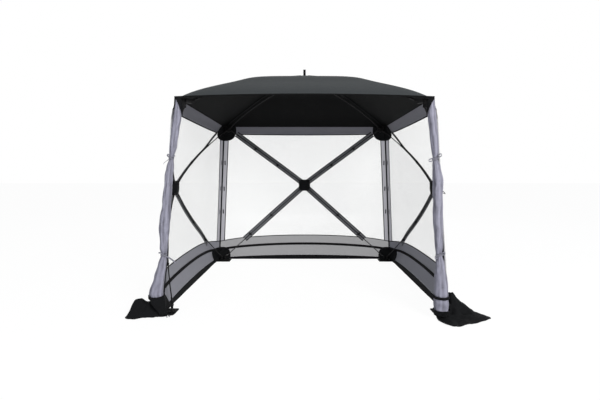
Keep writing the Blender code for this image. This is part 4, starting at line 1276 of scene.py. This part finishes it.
def build_ring(side, foot):
    """The peg ring sewn to a front foot's cloth, with its short loop of webbing."""
    mirror = Matrix.Diagonal((SIGN[side], 1, 1))
    centre = foot + mirror @ Vector(PEG_RING_PLACE)
    rows = []
    for turn in levels(0, TURN, 28):
        way = Vector((cos(turn), sin(turn), 0.35 * sin(turn)))
        ring = []
        for around_wire in levels(0, TURN, 10):
            wire = Vector((0, 0, PEG_WIRE_RADIUS * sin(around_wire)))
            ring.append(centre + way * (PEG_RING_RADIUS + PEG_WIRE_RADIUS * cos(around_wire)) + wire)
        rows.append(ring)
    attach(new_piece("peg_ring_" + side, "steel", rows), "foot_front_" + side)
    start = foot + mirror @ Vector(PEG_LOOP_START)
    points = [start, start.lerp(centre, 0.5), centre + Vector(PEG_LOOP_OVER), centre + Vector(PEG_LOOP_END)]
    loop = ribbon("peg_loop_" + side, points, (1, 0, 0), PEG_LOOP_WIDTH, STRAP, "webbing")
    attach(loop, "foot_front_" + side)


def build_pad(corner):
    """The black cloth pad under a back foot."""
    foot = foot_middle(corner)

    def place(down, across):
        rim = max(abs(across), abs(down)) / PAD_HALF
        height = PAD_LIFT + PAD_WRINKLE * abs(crumple((across, down, 0), 30.0, foot.x)) * rim
        return Vector((foot.x + across, foot.y + down, height)), (across, down)

    steps = levels(-PAD_HALF, PAD_HALF, 14)
    item = cloth("pad_cloth_" + corner, "black", steps, steps, place, UP, PAD_CLOTH)
    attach(item, "foot_" + corner)
    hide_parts("foot_pad_" + corner)
    declare_cut(item, "foot_" + corner)


def finish_frame():
    """Materials on the frame's own nodes."""
    for node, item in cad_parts.items():
        rod = node.startswith(("pole_", "roof_pole_"))
        item.data.materials.clear()
        item.data.materials.append(PAINT["rod" if rod else "plastic"])
        for polygon in item.data.polygons:
            polygon.material_index = 0


# The stage

STAGE_REACH = 60.0
STAGE_DROP = 0.5 * MM
WHITE = (1, 1, 1, 1)
SKY_FILL = (0.95, 0.97, 1.0, 1)
SKY_STRENGTH = 0.40
FLOOR_GREY = (0.80, 0.80, 0.80, 1)
FLOOR_GLOW = 1.05
FLOOR_GLOW_SHARE = 0.9
AIM_HEIGHT = 1.0
SENSOR_WIDTH = 36.0
# Each lamp's place, size, power and colour
LAMPS = (
    ("key light", (4.3, -8.7, 4.0), 3.0, 780.0, (1.0, 0.99, 0.97)),
    ("fill light", (-4.6, -8.4, 2.0), 3.0, 160.0, (0.97, 0.98, 1.0)),
    ("back light", (0.4, 7.5, 1.6), 4.0, 110.0, (1.0, 1.0, 1.0)),
)


def seen_rays(tree):
    """1 for a ray that shows the stage itself, and 0 for one that only gathers its light."""
    path = add_node(tree, "ShaderNodeLightPath")
    seen = path.outputs["Is Camera Ray"]
    for kind in ("Glossy", "Transmission"):
        ray = path.outputs[f"Is {kind} Ray"]
        seen = add_node(tree, "ShaderNodeMath", {0: seen, 1: ray}, operation="MAXIMUM").outputs[0]
    return seen


def build_sky(scene):
    scene.world = bpy.data.worlds.new("studio")
    scene.world.use_nodes = True
    tree = scene.world.node_tree
    tree.nodes.clear()
    fill = add_node(tree, "ShaderNodeBackground", {"Color": SKY_FILL, "Strength": SKY_STRENGTH}).outputs[0]
    white = add_node(tree, "ShaderNodeBackground", {"Color": WHITE}).outputs[0]
    both = add_node(tree, "ShaderNodeMixShader", {0: seen_rays(tree), 1: fill, 2: white})
    add_node(tree, "ShaderNodeOutputWorld", {0: both.outputs[0]})


def build_floor():
    mesh = bpy.data.meshes.new("floor")
    mesh.from_pydata([(i * STAGE_REACH, j * STAGE_REACH, 0) for i, j in CORNERS], [], [(0, 1, 2, 3)])
    floor = add_object("floor", mesh)
    floor.location.z = -STAGE_DROP
    shader = Shader("floor", 0.9, 0.0, 0.0)
    shader.set("Base Color", FLOOR_GREY)
    glow = shader.node("ShaderNodeEmission", {"Color": WHITE, "Strength": FLOOR_GLOW}).outputs[0]
    share = shader.math("MULTIPLY", seen_rays(shader.tree), FLOOR_GLOW_SHARE)
    mesh.materials.append(shader.finish(surface=shader.mixed(share, shader.surface.outputs[0], glow)))


def stage():
    """A pale floor, soft studio light and the photograph's camera."""
    scene = bpy.context.scene
    scene.view_settings.view_transform = "Standard"
    build_sky(scene)
    build_floor()
    for name, place, size, power, colour in LAMPS:
        lamp = bpy.data.lights.new(name, "AREA")
        lamp.size = size
        lamp.energy = power
        lamp.color = colour
        item = add_object(name, lamp)
        item.location = place
        aim = Vector((0, CENTRE_Y, AIM_HEIGHT)) - Vector(place)
        item.rotation_euler = aim.to_track_quat("-Z", "Y").to_euler()
    lens = bpy.data.cameras.new("camera")
    lens.sensor_width = SENSOR_WIDTH
    lens.lens = FOCAL_PIXELS * SENSOR_WIDTH / PHOTO_WIDTH
    lens.shift_x = (PHOTO_WIDTH / 2 - CENTRE_PIXEL) / PHOTO_WIDTH
    scene.camera = add_object("camera", lens)
    scene.camera.location = (0, CENTRE_Y - CAMERA_DISTANCE, CAMERA_HEIGHT)
    scene.camera.rotation_euler = (pi / 2 + CAMERA_PITCH, 0, 0)


stage()
finish_frame()
for pole in ROOF.arms:
    build_roof_quarter(pole)
build_pull_strap(ROOF, 0.0, ROOF_LOOP_LENGTH)
for wall in WALLS.values():
    for pole in wall.arms:
        build_quarter(pole)
    build_patches(wall)
    build_tabs(wall)
    build_pull_strap(wall, WALL_LOOP_DROOP)
for half in ("left", "right"):
    build_door(half)
    build_flap(half)
    build_pad("back_" + half)
